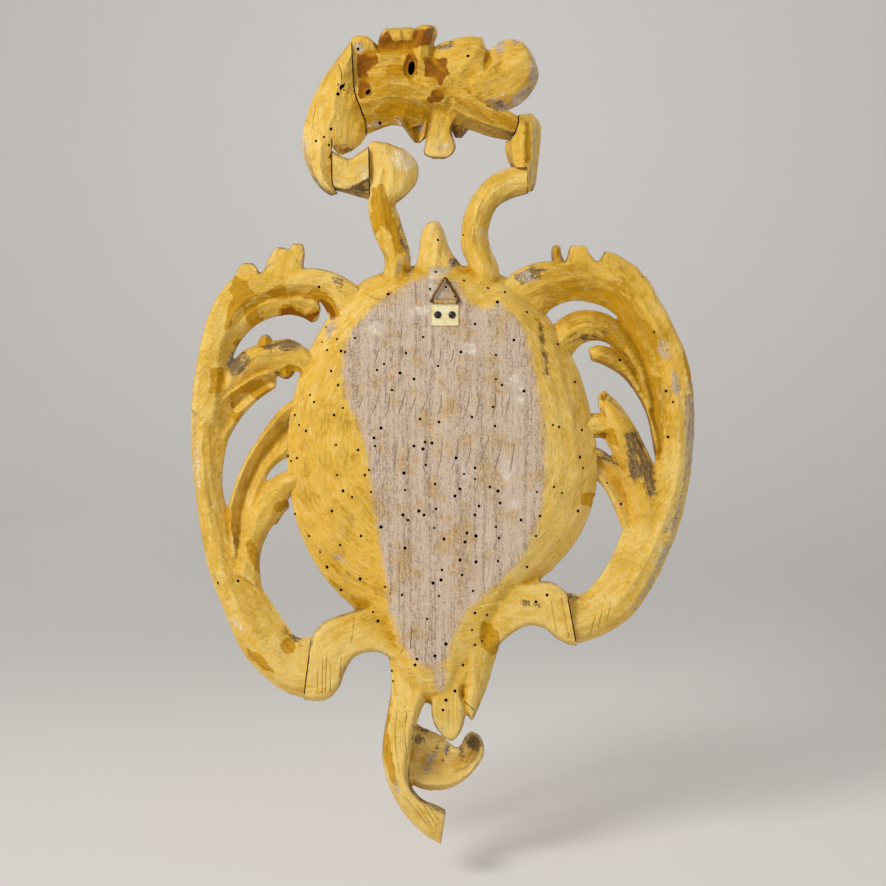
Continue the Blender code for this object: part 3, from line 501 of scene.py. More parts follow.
def tip_scale(share, tips):
    """How thick a limb is at these shares of its length, where a tip rounds off."""
    scale = np.ones_like(share)
    for reach, closes in ((share, tips[0]), (1 - share, tips[1])):
        if closes:
            near = np.clip(1 - reach / TIP_SHARE, 0, 1)
            scale *= TIP_THICKNESS + (1 - TIP_THICKNESS) * np.sqrt(1 - near**2)
    return scale


def section(shape):
    """A limb's closed cross-section at full thickness: shares across, and depths."""
    back_depth, edge_depth, front_depth = shape.board
    back = [(across, edge_depth + s * (back_depth - edge_depth)) for across, s in shape.back]
    front = [(across, edge_depth + s * (front_depth - edge_depth)) for across, s in shape.front]
    fine_back = straight_curve(back, POINTS_PER_FACET)
    chain = [back[-1], *front, back[0]]
    fine_front = smooth_curve(chain, POINTS_PER_FACET * (len(chain) - 1) + 1)[1:-1]
    fine_front[:, 0] = np.clip(fine_front[:, 0], 0, 1)
    return np.vstack([fine_back, fine_front])


def limb_edges(shape):
    """A limb's two edges and how much deeper it lies, at each of its stations."""
    stations = (len(shape.pairs) - 1) * STATIONS_PER_PAIR + 1
    edges = smooth_curve(shape.pairs, stations)
    share = np.linspace(0, 1, stations)
    deeper = np.interp(share, np.linspace(0, 1, len(shape.sink)), shape.sink) * SQUARE
    return edges, share, deeper


def limb_rings(shape):
    """The rings of points that a limb's skin runs over."""
    edges, share, deeper = limb_edges(shape)
    across, depth = section(shape).T
    thick = tip_scale(share, shape.tips)[:, None]
    depth = shape.board[1] + thick * (depth - shape.board[1]) + deeper[:, None]
    u = edges[:, :1] + across * (edges[:, 2:3] - edges[:, :1])
    v = edges[:, 1:2] + across * (edges[:, 3:] - edges[:, 1:2])
    return place(u, v, depth)


def radius_at(outline, angles):
    """The distance from the shield's middle to a closed outline, in each direction."""
    closed = smooth_curve([*outline, *outline[:3]], 12 * (len(outline) + 2) + 1)
    away = closed - SHIELD_MIDDLE
    bearing = np.arctan2(away[:, 1], away[:, 0]) % math.tau
    order = np.argsort(bearing)
    return np.interp(angles, bearing[order], np.hypot(*away.T)[order], period=math.tau)


def shield_rings(grow=0.0):
    """The shield's board or, with an amount to grow by, a cutter that clears its bay."""
    angles = turns(SHIELD_SIDES)
    outer = radius_at(SHIELD_OUTLINE, angles) + grow / SQUARE
    flat = radius_at(FLAT_OUTLINE, angles)
    directions = np.stack([np.cos(angles), np.sin(angles)], axis=1)
    profile = [
        (flat + share * (outer - flat), fall * SHIELD_EDGE - grow * (1 - fall))
        for share, fall in straight_curve(BACK_BEVEL, POINTS_PER_FACET)
    ]
    if grow:
        profile.append((outer, CUTTER_DEPTHS[1]))
    else:
        rise = SHIELD_PLATFORM - SHIELD_EDGE
        chain = smooth_curve([(1.0, 0.0), *FRONT_SHOULDER], 10)[1:]
        profile += [(outer * share, SHIELD_EDGE + lift * rise) for share, lift in chain]
    rings = []
    for radii, depth in profile:
        squares = SHIELD_MIDDLE + directions * radii[:, None]
        rings.append(place(squares[:, 0], squares[:, 1], depth))
    return rings


def boss_rings():
    """The raised oval on the front: a rounded rim, a quirk and a shallow dome."""
    profile = [(share, SHIELD_PLATFORM + lift * BOSS_RIM_HEIGHT) for share, lift in BOSS_RIM]
    profile += [(share, SHIELD_PLATFORM + lift * BOSS_DOME_HEIGHT) for share, lift in BOSS_DOME]
    angles = turns(BOSS_SIDES)
    return [
        place(
            BOSS_MIDDLE[0] + share * BOSS_RADII[0] * np.cos(angles),
            BOSS_MIDDLE[1] + share * BOSS_RADII[1] * np.sin(angles),
            depth,
        )
        for share, depth in smooth_curve(profile, 4 * len(profile))
    ]


def stand(name, data):
    """An object in the scene that holds this mesh, light or camera."""
    obj = bpy.data.objects.new(name, data)
    bpy.context.scene.collection.objects.link(obj)
    return obj


def mesh_of(name, points, faces):
    """A mesh of these points and faces, all triangles, pointing out."""
    mesh = bpy.data.meshes.new(name)
    mesh.from_pydata([tuple(map(float, p)) for p in points], [], faces)
    shape = bmesh.new()
    shape.from_mesh(mesh)
    bmesh.ops.triangulate(shape, faces=shape.faces)
    bmesh.ops.recalc_face_normals(shape, faces=shape.faces)
    shape.to_mesh(mesh)
    shape.free()
    return mesh


def object_of(name, shells):
    """An object of one or more closed skins."""
    points, faces = [], []
    for shell_points, shell_faces in shells:
        start = sum(len(p) for p in points)
        points.append(shell_points)
        faces += [tuple(start + i for i in face) for face in shell_faces]
    return stand(name, mesh_of(name, np.vstack(points), faces))


def prism(outline, depths=CUTTER_DEPTHS):
    """A closed skin with this outline on the template, standing between two depths."""
    squares = np.asarray(outline, float)
    return skin([place(squares[:, 0], squares[:, 1], depth) for depth in depths])


def curtain(line, side, reach=CUT_REACH):
    """A prism on a joint line, reaching this many squares to one side of it."""
    line = np.asarray(line, float)
    run = line[-1] - line[0]
    normal = np.array([run[1], -run[0]]) / np.hypot(*run) * side
    near = line - normal * (JOINT_GAP / 2 / SQUARE)
    return prism([*near, *(line + normal * reach)[::-1]])


def rod(start, end, radius, sides=10):
    """A closed skin round the line from start to end."""
    turn = (end - start).normalized().to_track_quat("Z", "Y").to_matrix()
    circle = [
        turn @ Vector((radius * math.cos(angle), radius * math.sin(angle), 0))
        for angle in turns(sides)
    ]
    return skin([[middle + point for point in circle] for middle in (start, end)])


def settle(obj):
    """Applies an object's modifiers."""
    graph = bpy.context.evaluated_depsgraph_get()
    mesh = bpy.data.meshes.new_from_object(obj.evaluated_get(graph))
    old = obj.data
    obj.modifiers.clear()
    obj.data = mesh
    bpy.data.meshes.remove(old)


def fuse(obj, voxel):
    """Fuses an object's overlapping skins into one fine, even, slightly softened mesh."""
    remesh = obj.modifiers.new("fuse", "REMESH")
    remesh.mode = "VOXEL"
    remesh.voxel_size = voxel
    soften = obj.modifiers.new("soften", "SMOOTH")
    soften.factor = SOFTENING
    soften.iterations = 1
    settle(obj)


def cut(obj, shells, look=None):
    """Cuts closed skins out of an object. The cut faces take the material look."""
    if not shells:
        return
    cutter = object_of("cutter", shells)
    if look:
        cutter.data.materials.append(look)
    modifier = obj.modifiers.new("cut", "BOOLEAN")
    modifier.operation = "DIFFERENCE"
    modifier.solver = "MANIFOLD"
    modifier.material_mode = "TRANSFER"
    modifier.object = cutter
    settle(obj)
    bpy.data.objects.remove(cutter)


def read_triples(collection, key):
    """A table of three numbers for each item of a mesh's collection."""
    values = np.empty(len(collection) * 3, np.float32)
    collection.foreach_get(key, values)
    return values.reshape(-1, 3).astype(float)


def read_points(mesh):
    return read_triples(mesh.vertices, "co")


def read_normals(mesh):
    return read_triples(mesh.vertex_normals, "vector")


def write_points(mesh, points):
    mesh.vertices.foreach_set("co", points.astype(np.float32).ravel())
    mesh.update()


HASH_START, HASH_PRIME, HASH_MIX = 2166136261, 16777619, 2246822519


def chance(*cells, seed=0):
    """A repeatable number from 0 to 1 for each whole-numbered cell."""
    mixed = np.full(np.shape(cells[0]), HASH_START + seed * 97, np.uint32)
    for cell in cells:
        mixed = mixed ^ (np.asarray(cell).astype(np.int64) & 0xFFFFFFFF).astype(np.uint32)
        mixed = mixed * np.uint32(HASH_PRIME)
        mixed ^= mixed >> np.uint32(15)
        mixed = mixed * np.uint32(HASH_MIX)
        mixed ^= mixed >> np.uint32(13)
    return mixed.astype(np.float64) / (2**32 - 1)


def value_noise(points, size, seed=0):
    """Smooth noise from -1 to 1 with features of this size."""
    p = points / size
    low = np.floor(p)
    t = p - low
    t = t * t * (3 - 2 * t)
    total = np.zeros(len(p))
    for corner in np.ndindex(*(2,) * p.shape[1]):
        weight = np.ones(len(p))
        for axis, step in enumerate(corner):
            weight *= t[:, axis] if step else 1 - t[:, axis]
        cell = (low[:, axis] + step for axis, step in enumerate(corner))
        total += weight * chance(*cell, seed=seed)
    return 2 * total - 1


def gouge_cells(points, seed=0):
    """Squared distance to the nearest of one scattered seed per unit cell of the plane."""
    low = np.floor(points)
    nearest = np.full(len(points), 9.0)
    for step in np.ndindex(3, 3):
        cell = low + np.array(step) - 1
        jitter = np.stack([chance(*cell.T, seed=seed + k) for k in (1, 2)], axis=1)
        away = points - cell - 0.15 - 0.7 * jitter
        nearest = np.minimum(nearest, (away**2).sum(axis=1))
    return nearest


def line_distance(u, v, line):
    """Distance in squares to a polyline, and the share of its length there."""
    line = np.asarray(line, float)
    best = np.full(len(u), 1e9)
    share = np.zeros(len(u))
    lengths = np.hypot(*np.diff(line, axis=0).T)
    before = np.concatenate([[0], np.cumsum(lengths)])
    for i, length in enumerate(lengths):
        start, run = line[i], line[i + 1] - line[i]
        t = np.clip(((u - start[0]) * run[0] + (v - start[1]) * run[1]) / length**2, 0, 1)
        away = np.hypot(u - start[0] - t * run[0], v - start[1] - t * run[1])
        nearer = away < best
        best = np.where(nearer, away, best)
        share = np.where(nearer, (before[i] + t * length) / before[-1], share)
    return best, share


def inside_distance(u, v, outline):
    """Squares inside a closed outline, negative outside it."""
    outline = np.asarray(outline, float)
    best = np.full(len(u), 1e9)
    within = np.zeros(len(u), bool)
    for start, end in zip(outline, np.roll(outline, -1, axis=0)):
        run = end - start
        if not run.any():
            continue
        t = np.clip(((u - start[0]) * run[0] + (v - start[1]) * run[1]) / (run @ run), 0, 1)
        best = np.minimum(best, np.hypot(u - start[0] - t * run[0], v - start[1] - t * run[1]))
        crosses = (start[1] > v) != (end[1] > v)
        if run[1]:
            within ^= crosses & (u < start[0] + (v - start[1]) / run[1] * run[0])
    return np.where(within, best, -best)


def oval_distance(u, v, oval):
    """Squares inside an oval of middle, two radii and a lean in degrees, about."""
    middle_u, middle_v, across, down, lean = oval
    c, s = math.cos(math.radians(lean)), math.sin(math.radians(lean))
    du, dv = u - middle_u, v - middle_v
    reach = np.hypot((c * du + s * dv) / across, (c * dv - s * du) / down)
    return (1 - reach) * min(across, down)


def zone_distance(u, v, zones):
    """Squares inside the nearest of several zones: outlines, or ovals of five numbers."""
    best = np.full(len(u), FAR_OUTSIDE)
    for zone in zones:
        measure = inside_distance if np.ndim(zone) == 2 else oval_distance
        best = np.maximum(best, measure(u, v, zone))
    return best


# A limb takes a point over only when it is nearer by the first measure, and outside its own
# rows it is held off by the second, in metres.
SAME_LIMB = 0.0015
OTHER_ROWS = 0.02


def limb_grid(points, limbs):
    """For each point, the limb it lies on, its share across, and millimetres along and wide."""
    u, v, depth = on_template(points)
    best = np.full(len(u), 1e9)
    found = np.zeros((4, len(u)))
    for number, shape in enumerate(limbs):
        edges, _, deeper = limb_edges(shape)
        first, last = edges[:, :2], edges[:, 2:]
        middle, run = (first + last) / 2, last - first
        width = np.maximum(np.hypot(*run.T), 3)
        along = np.concatenate([[0], np.cumsum(np.hypot(*np.diff(middle, axis=0).T))])
        apart = (u[:, None] - middle[:, 0]) ** 2 + (v[:, None] - middle[:, 1]) ** 2
        i = np.argmin(apart, axis=1)
        across = ((u - first[i, 0]) * run[i, 0] + (v - first[i, 1]) * run[i, 1]) / width[i] ** 2
        shares, depths = section(shape).T
        count = POINTS_PER_FACET * (len(shape.back) - 1) + 1
        back = np.interp(across, shares[:count], depths[:count]) + deeper[i]
        outside = np.maximum(np.abs(across - 0.5) - 0.5, 0) * width[i] * SQUARE
        depth_miss = np.minimum(np.abs(depth - back), np.abs(depth - shape.board[2] - deeper[i]))
        beyond = np.sqrt(apart[np.arange(len(u)), i]) * SQUARE - width[i] * SQUARE / 2
        elsewhere = (v < shape.rows[0]) | (v > shape.rows[1])
        score = outside + depth_miss + np.maximum(beyond, 0) + OTHER_ROWS * elsewhere
        nearer = score < best - SAME_LIMB
        best = np.where(nearer, score, best)
        values = (number, across, along[i] * SQUARE / MILLIMETRE, width[i] * SQUARE / MILLIMETRE)
        found = np.where(nearer, np.stack([np.broadcast_to(x, len(u)) for x in values]), found)
    return found


# How the wood is worked: courses, gouges and veins in millimetres, the sizes of warp, lumps
# and grain and all depths in metres.
LIMB_APART = 400
LIMB_SHIFT = 17.3
GOUGE_LENGTH = 15.0
GOUGE_WIDTH = 6.5
BOARD_GOUGE = (22, 8)
GOUGE_DEPTH = 0.00075
FRONT_GOUGE_DEPTH = 0.00012
WARP_SIZE = 0.011
WARP = 0.22
LUMP_SIZE = 0.016
LUMP_DEPTH = 0.00035
GRAIN_SIZE = 0.0022
GRAIN_STRETCH = np.array([1, 1, 0.12])
GRAIN_DEPTH = 0.00008
VEIN_PITCH = 4.2
VEIN_SLANT = 9
VEIN_DEPTH = 0.00035
FACING_BACK = (-0.1, 0.35)
FACING_FRONT = (0.15, 0.6)

# What counts as the board's own surface, as its flat middle and as the band of gadroons:
# depths in metres, the radius and the margin in squares, the bands as shares of the outline.
BOARD_MISS = 0.0022
BOARD_FRONT = 0.022
BOARD_RADIUS = 160
FLAT_MARGIN = (-6, 4)
FLAT_DEPTH = 0.003
GADROON_BAND = (0.83, 0.9)
GADROON_END = (-1.0, -0.95)
GADROON_SINK = 0.6
STROKE_TAPER = (-0.02, 0.14)
STROKE_POWER = 1.3


def soft_step(value, low, high):
    """Rises smoothly from 0 at low to 1 at high."""
    t = np.clip((value - low) / (high - low), 0, 1)
    return t * t * (3 - 2 * t)


def board_work(u, v, depth, before):
    """Where the shield's board shows, the course of its work, its flatness and gadroons."""
    away_u, away_v = u - SHIELD_MIDDLE[0], v - SHIELD_MIDDLE[1]
    angle = np.arctan2(away_v, away_u)
    reach = np.hypot(away_u, away_v)
    outer, flat = radius_at(SHIELD_OUTLINE, angle), radius_at(FLAT_OUTLINE, angle)
    share = np.clip((reach - flat) / (outer - flat), 0, 1)
    surface = np.interp(share, *np.transpose(BACK_BEVEL)) * SHIELD_EDGE
    near = (np.abs(depth - surface) < BOARD_MISS) | (depth > BOARD_FRONT)
    on_board = (reach < outer + 1) & near
    around = np.arctan2(away_u, -away_v) * BOARD_RADIUS * SQUARE / MILLIMETRE
    course = np.stack([around, reach * SQUARE / MILLIMETRE, angle * 0], axis=1)
    inside = inside_distance(u, v, smooth_curve([*FLAT_OUTLINE, FLAT_OUTLINE[0]], 200))
    flatness = soft_step(inside, *FLAT_MARGIN) * (depth < FLAT_DEPTH)
    gadroon = np.abs(np.cos(angle * GADROONS / 2)) * soft_step(reach / outer, *GADROON_BAND)
    gadroon *= on_board * before * soft_step(-reach / outer, *GADROON_END)
    return on_board[:, None], course, flatness, gadroon


def work_over(mesh, limbs, shield=False):
    """Moves a fused mesh's points by gouge marks, lumps, listed strokes and front relief.

    Gives the course of the work at each point: millimetres along a limb and across it.
    """
    points, normals = read_points(mesh), read_normals(mesh)
    u, v, depth = on_template(points)
    number, across, along, width = limb_grid(points, limbs)
    course = np.stack([along + number * LIMB_APART, across * width, number * 0], axis=1)
    behind = soft_step(normals[:, 1], *FACING_BACK)
    before = soft_step(-normals[:, 1], *FACING_FRONT)
    cells = np.stack(
        [along / GOUGE_LENGTH + number * LIMB_SHIFT, across * width / GOUGE_WIDTH], axis=1
    )
    flatness = np.zeros(len(points))
    if shield:
        on_board, board_course, flatness, gadroon = board_work(u, v, depth, before)
        cells = np.where(on_board, board_course[:, :2] / BOARD_GOUGE, cells)
        course = np.where(on_board, board_course, course)
        sink = GADROON_DEPTH * GADROON_SINK * (gadroon > 0)
        points += normals * (gadroon * GADROON_DEPTH - sink)[:, None]
    warp = np.stack([value_noise(points, WARP_SIZE, seed=k) for k in (5, 6)], axis=1) * WARP
    gouge = (gouge_cells(cells + warp, seed=11) - 0.25) * 1.6
    lumps = value_noise(points, LUMP_SIZE, seed=3)
    lumps = lumps + 0.5 * value_noise(points, LUMP_SIZE / 2.3, seed=4)
    grain = value_noise(points * GRAIN_STRETCH, GRAIN_SIZE, seed=8)
    back_move = GOUGE_DEPTH * gouge * (1 - flatness) + LUMP_DEPTH * lumps * (1 - 0.75 * flatness)
    back_move += GRAIN_DEPTH * grain * (0.4 + 0.6 * flatness)
    leaf = np.isin(number, [i for i, shape in enumerate(limbs) if shape.board in VEINED_BOARDS])
    vein = np.cos(along / VEIN_PITCH * math.tau + np.abs(across - 0.5) * VEIN_SLANT) * leaf
    front_move = FRONT_GOUGE_DEPTH * gouge + 0.4 * LUMP_DEPTH * lumps - VEIN_DEPTH * vein
    move = behind * back_move + before * front_move
    for line, half_width, cut_depth in STROKES:
        apart, share = line_distance(u, v, smooth_curve(line, 6 * len(line)))
        taper = soft_step(np.minimum(share, 1 - share), *STROKE_TAPER)
        valley = np.clip(1 - apart / half_width, 0, 1) ** STROKE_POWER
        move -= behind * taper * cut_depth * MILLIMETRE * valley
    for oval, dent in HOLLOWS:
        within = np.clip(oval_distance(u, v, oval) / min(oval[2:4]), 0, 1)
        move -= behind * dent * MILLIMETRE * (1 - (1 - within) ** 2)
    write_points(mesh, points + normals * move[:, None])
    return course


def keep_inside(mesh, margin=0.0002):
    """Holds a mesh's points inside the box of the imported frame."""
    low, high = (np.array(corner) for corner in CAD_BOX)
    write_points(mesh, np.clip(read_points(mesh), low + margin, high - margin))


def tree_of(obj):
    """A piece's faces, to be met by lines of sight."""
    return BVHTree.FromObject(obj, bpy.context.evaluated_depsgraph_get())


def seen_from_behind(tree, u, v):
    """Where the template's line of sight meets a piece, and its normal there."""
    eye = Vector(place(u, v, -EYE_DISTANCE * 0.9))
    hit, normal, _, _ = tree.ray_cast(eye, (Vector(place(u, v, 0.0)) - eye).normalized())
    return hit, normal


def engrave(tree, line, width, depth, steps=3, lift=0.0004, end_share=0.35):
    """A closed skin that cuts a V-shaped stroke along a line into the back of a piece."""
    if len(line) > 2:
        squares = smooth_curve(line, steps * (len(line) - 1) + 1)
    else:
        squares = straight_curve(line, 2 * steps)
    rings = []
    for i, ((u, v), run) in enumerate(zip(squares, np.gradient(squares, axis=0))):
        hit, _ = seen_from_behind(tree, u, v)
        if hit is None:
            continue
        share = end_share if i in (0, len(squares) - 1) else 1.0
        side = Vector((run[1], 0.0, -run[0])).normalized()
        half = width / 2 * share * (depth + lift) / depth
        top = hit + Vector((0, lift, 0))
        rings.append([top - side * half, top + side * half, hit - Vector((0, depth * share, 0))])
    return skin(rings) if len(rings) > 1 else None


VEINED_BOARDS = (LEAF_BOARD, LOBE_BOARD)

# Strokes worked into the back: a line, half its width in squares and its depth in
# millimetres. A negative depth raises a ridge.
STROKES = (
    (((357, 296), (336, 322), (318, 370), (309, 430), (318, 485), (340, 530), (366, 575)), 7, -0.7),
    (((528, 300), (548, 330), (561, 380), (572, 430), (579, 485)), 6, -0.7),
    (((352, 300), (338, 328), (325, 370), (322, 430), (334, 490), (352, 530), (376, 580)), 8, 0.5),
    (((540, 318), (545, 350), (548, 377)), 4, 0.8),
    (((531, 320), (536, 352)), 2.5, 0.4),
    (((440, 262), (437, 246), (436, 230)), 6, -0.6),
    (((412, 274), (404, 268), (398, 284)), 5, 0.9),
    (((468, 274), (460, 268), (452, 262)), 5, 0.8),
    (((376, 205), (386, 232), (395, 262), (392, 290)), 4, -0.6),
    (((487, 196), (473, 220), (470, 244), (484, 276)), 5, -0.7),
    (((240, 309), (267, 291), (297, 283), (321, 291), (330, 309)), 4, -0.5),
    (((210, 405), (209, 450), (213, 490), (224, 525), (240, 570)), 4, -0.5),
    (((220, 470), (228, 515), (246, 560), (268, 600), (298, 640)), 4, 0.6),
    (((215, 372), (208, 410)), 4, 0.6),
    (((549, 279), (592, 281), (638, 304), (661, 336), (673, 382), (676, 430)), 5, -0.6),
    (((563, 292), (600, 293), (634, 312), (655, 348), (665, 395), (668, 440)), 5, 0.5),
    (((640, 330), (656, 372), (662, 420), (664, 452)), 4, -0.5),
    (((676, 440), (672, 490), (656, 540), (630, 590)), 4, -0.5),
    (((664, 480), (652, 530), (628, 575)), 4, 0.6),
    (((448, 92), (480, 105), (512, 120)), 6, -0.5),
    (((525, 126), (525, 163)), 4, -0.9),
    (((338, 62), (330, 100), (331, 138)), 6, 0.5),
    (((349, 62), (344, 100), (333, 140)), 4, -0.4),
    (((398, 690), (396, 740), (402, 780), (424, 818)), 4, -0.6),
    (((406, 682), (404, 735), (410, 775)), 3, 0.5),
    (((423, 684), (414, 705), (411, 730)), 4, -0.5),
    (((452, 692), (456, 712), (464, 730)), 2.5, 0.6),
    (((433, 694), (434, 715), (443, 733)), 2.5, -0.5),
    (((460, 690), (476, 704), (482, 690)), 2.5, 0.5),
    (((464, 749), (461, 761), (453, 772)), 3, 0.9),
    (((437, 738), (432, 752)), 3, 0.7),
    (((446, 742), (442, 764)), 3, 0.8),
    (((497, 600), (520, 596), (548, 600)), 5, 0.5),
    (((366, 602), (378, 625), (392, 648)), 5, 0.7),
)

# Hollows worked into the back: an oval of middle, two radii and a lean, and its depth in
# millimetres.
HOLLOWS = (
    ((411, 67, 8, 12, 6), 3.5),
    ((368, 66, 12, 18, 10), 2.2),
    ((366, 93, 6, 7, 30), 1.2),
    ((436, 70, 12, 13, 0), 2.0),
    ((394, 47, 22, 8, 0), 1.5),
    ((440, 92, 10, 5, 0), 1.6),
    ((470, 75, 10, 8, -20), 1.2),
    ((500, 62, 4, 14, 20), 1.4),
    ((413, 118, 9, 14, 10), 1.4),
    ((449, 104, 5, 8, 20), 1.6),
    ((462, 480, 5, 16, 4), 0.7),
    ((488, 488, 3, 12, 0), 0.5),
    ((238, 364, 8, 12, 35), 1.4),
    ((289, 372, 11, 6, -25), 1.6),

    ((606, 437, 9, 5, 0), 1.8),
    ((290, 632, 9, 8, 30), 1.3),
    ((489, 640, 9, 17, -18), 0.7),
    ((586, 499, 7, 6, 0), 0.6),
    ((433, 757, 16, 10, 0), 2.0),
    ((344, 150, 8, 6, 0), 1.5),
)

# Cracks and saw marks across the back, in squares. Their widths and depths are in metres.
CRACKS = (
    ((338, 62), (341, 72), (342, 82)), ((463, 700), (476, 712)), ((412, 627), (410, 650)),
)
SAW_MARKS = (
    ((323, 655), (322, 698)), ((327, 653), (325, 700)), ((342, 650), (339, 692)),
    ((318, 668), (317, 696)), ((355, 612), (351, 648)), ((331, 664), (330, 698)),
    ((348, 660), (345, 684)), ((561, 596), (570, 642)), ((551, 600), (557, 634)),
    ((596, 612), (590, 636)), ((603, 606), (598, 630)), ((611, 600), (607, 622)),
    ((402, 630), (404, 646), (398, 656)), ((430, 606), (428, 640), (424, 668)),
    ((445, 628), (446, 664)), ((412, 806), (428, 826)), ((417, 804), (433, 828)),
    ((423, 804), (437, 826)), ((429, 805), (440, 822)), ((404, 796), (414, 808)),
    ((364, 292), (374, 298), (388, 300)), ((398, 700), (395, 740), (400, 776)),
    ((408, 700), (405, 735), (409, 770)), ((486, 196), (480, 206), (476, 222)),
    ((316, 100), (312, 130)), ((330, 70), (322, 90)), ((480, 84), (500, 78)), ((470, 120), (500, 130)),
)
CRACK_WIDTH = 0.0005
CRACK_DEPTH = 0.0010
SAW_MARK_WIDTH = 0.00036
SAW_MARK_DEPTH = 0.0002

# Rows of shallow strokes across the middle: for each, its top, bottom, left and right in
# squares, and how many strokes it has.
STROKE_ROWS = (
    (340, 368, 372, 460, 7), (386, 424, 354, 512, 12), (430, 478, 372, 520, 10),
)
# Dark holes: an oval of middle, two radii and a lean, and its depth in metres.
DARK_PITS = (
    ((411.5, 68, 3.4, 7.2, 8), 0.009), ((368, 92, 2.0, 3.2, 40), 0.003),
    ((341, 87.5, 1.4, 2.6, 10), 0.004), ((344.2, 84.5, 0.9, 1.5, 30), 0.003),
    ((338.2, 84.5, 0.8, 1.1, 0), 0.003), ((344, 90, 0.8, 1.0, 0), 0.003),
)
PIT_START = 0.01
PIT_SIDES = 20
STROKE_APART = 1.5
STROKE_WIDTH = 0.00055
STROKE_DEPTH = 0.00016

# Where beetles came out of the wood, in squares.
WORM_HOLES = (
    (337, 339), (355, 338), (341, 351), (345, 352), (331, 371), (338, 385), (343, 408),
    (334, 415), (336, 445), (358, 450), (337, 475), (369, 470), (365, 475), (343, 491),
    (371, 492), (352, 497), (332, 511), (381, 527), (361, 536), (340, 545), (360, 579),
    (385, 587), (341, 590), (406, 353), (423, 337), (384, 364), (377, 370), (400, 373),
    (438, 366), (414, 379), (461, 352), (475, 324), (514, 340), (496, 355), (496, 379),
    (502, 385), (524, 391), (493, 407), (472, 417), (439, 422), (420, 419), (392, 390),
    (381, 428), (374, 438), (375, 446), (414, 446), (425, 442), (423, 449), (432, 443),
    (426, 465), (404, 473), (405, 490), (435, 484), (456, 458), (464, 474), (475, 468),
    (475, 479), (460, 489), (455, 496), (490, 487), (498, 491), (495, 426), (500, 503),
    (479, 506), (475, 515), (436, 509), (419, 511), (403, 515), (408, 520), (424, 515),
    (434, 528), (444, 539), (467, 533), (476, 536), (465, 542), (496, 527), (499, 538),
    (521, 520), (537, 492), (540, 516), (536, 536), (554, 487), (562, 493), (578, 511),
    (553, 425), (559, 427), (582, 430), (580, 457), (583, 468), (575, 382), (558, 344),
    (405, 548), (460, 560), (476, 562), (498, 561), (462, 575), (442, 570), (441, 580),
    (433, 583), (439, 596), (473, 591), (402, 595), (427, 619), (527, 567), (475, 613),
    (487, 615), (472, 630), (475, 645), (464, 280.5), (455.4, 296), (446, 644),
    (435, 656), (417, 659), (536, 602),
    (547, 595), (373, 612), (378, 621), (415, 665), (455, 691), (446, 700), (443, 710),
    (463, 665), (482, 641), (388, 294), (446, 287), (436, 272), (430, 289), (438, 240),
    (314, 402), (322, 342), (326, 327), (327, 350), (310, 395), (295, 415), (299, 425),
    (306, 431), (288, 456), (291, 461), (297, 458), (295, 514), (309, 536), (320, 552),
    (327, 567), (218, 583), (238, 581), (319, 287), (463, 235), (488, 288), (505, 292),
    (527, 312), (497.5, 302), (643, 277), (654, 332), (620, 360), (666, 391), (673, 402),
    (668, 437), (607, 483), (621, 504), (338, 94), (343, 86), (331, 129), (324, 137),
    (316, 141), (329, 145), (380, 123), (358, 49), (468, 56), (392, 671), (393, 681),
)
WORM_HOLE_RADII = (0.0009, 0.00135)
WORM_HOLE_DEPTH = 0.0065
WORM_HOLE_START = 0.0015
WORM_HOLE_LEAN = Vector((0, -0.8, 0))
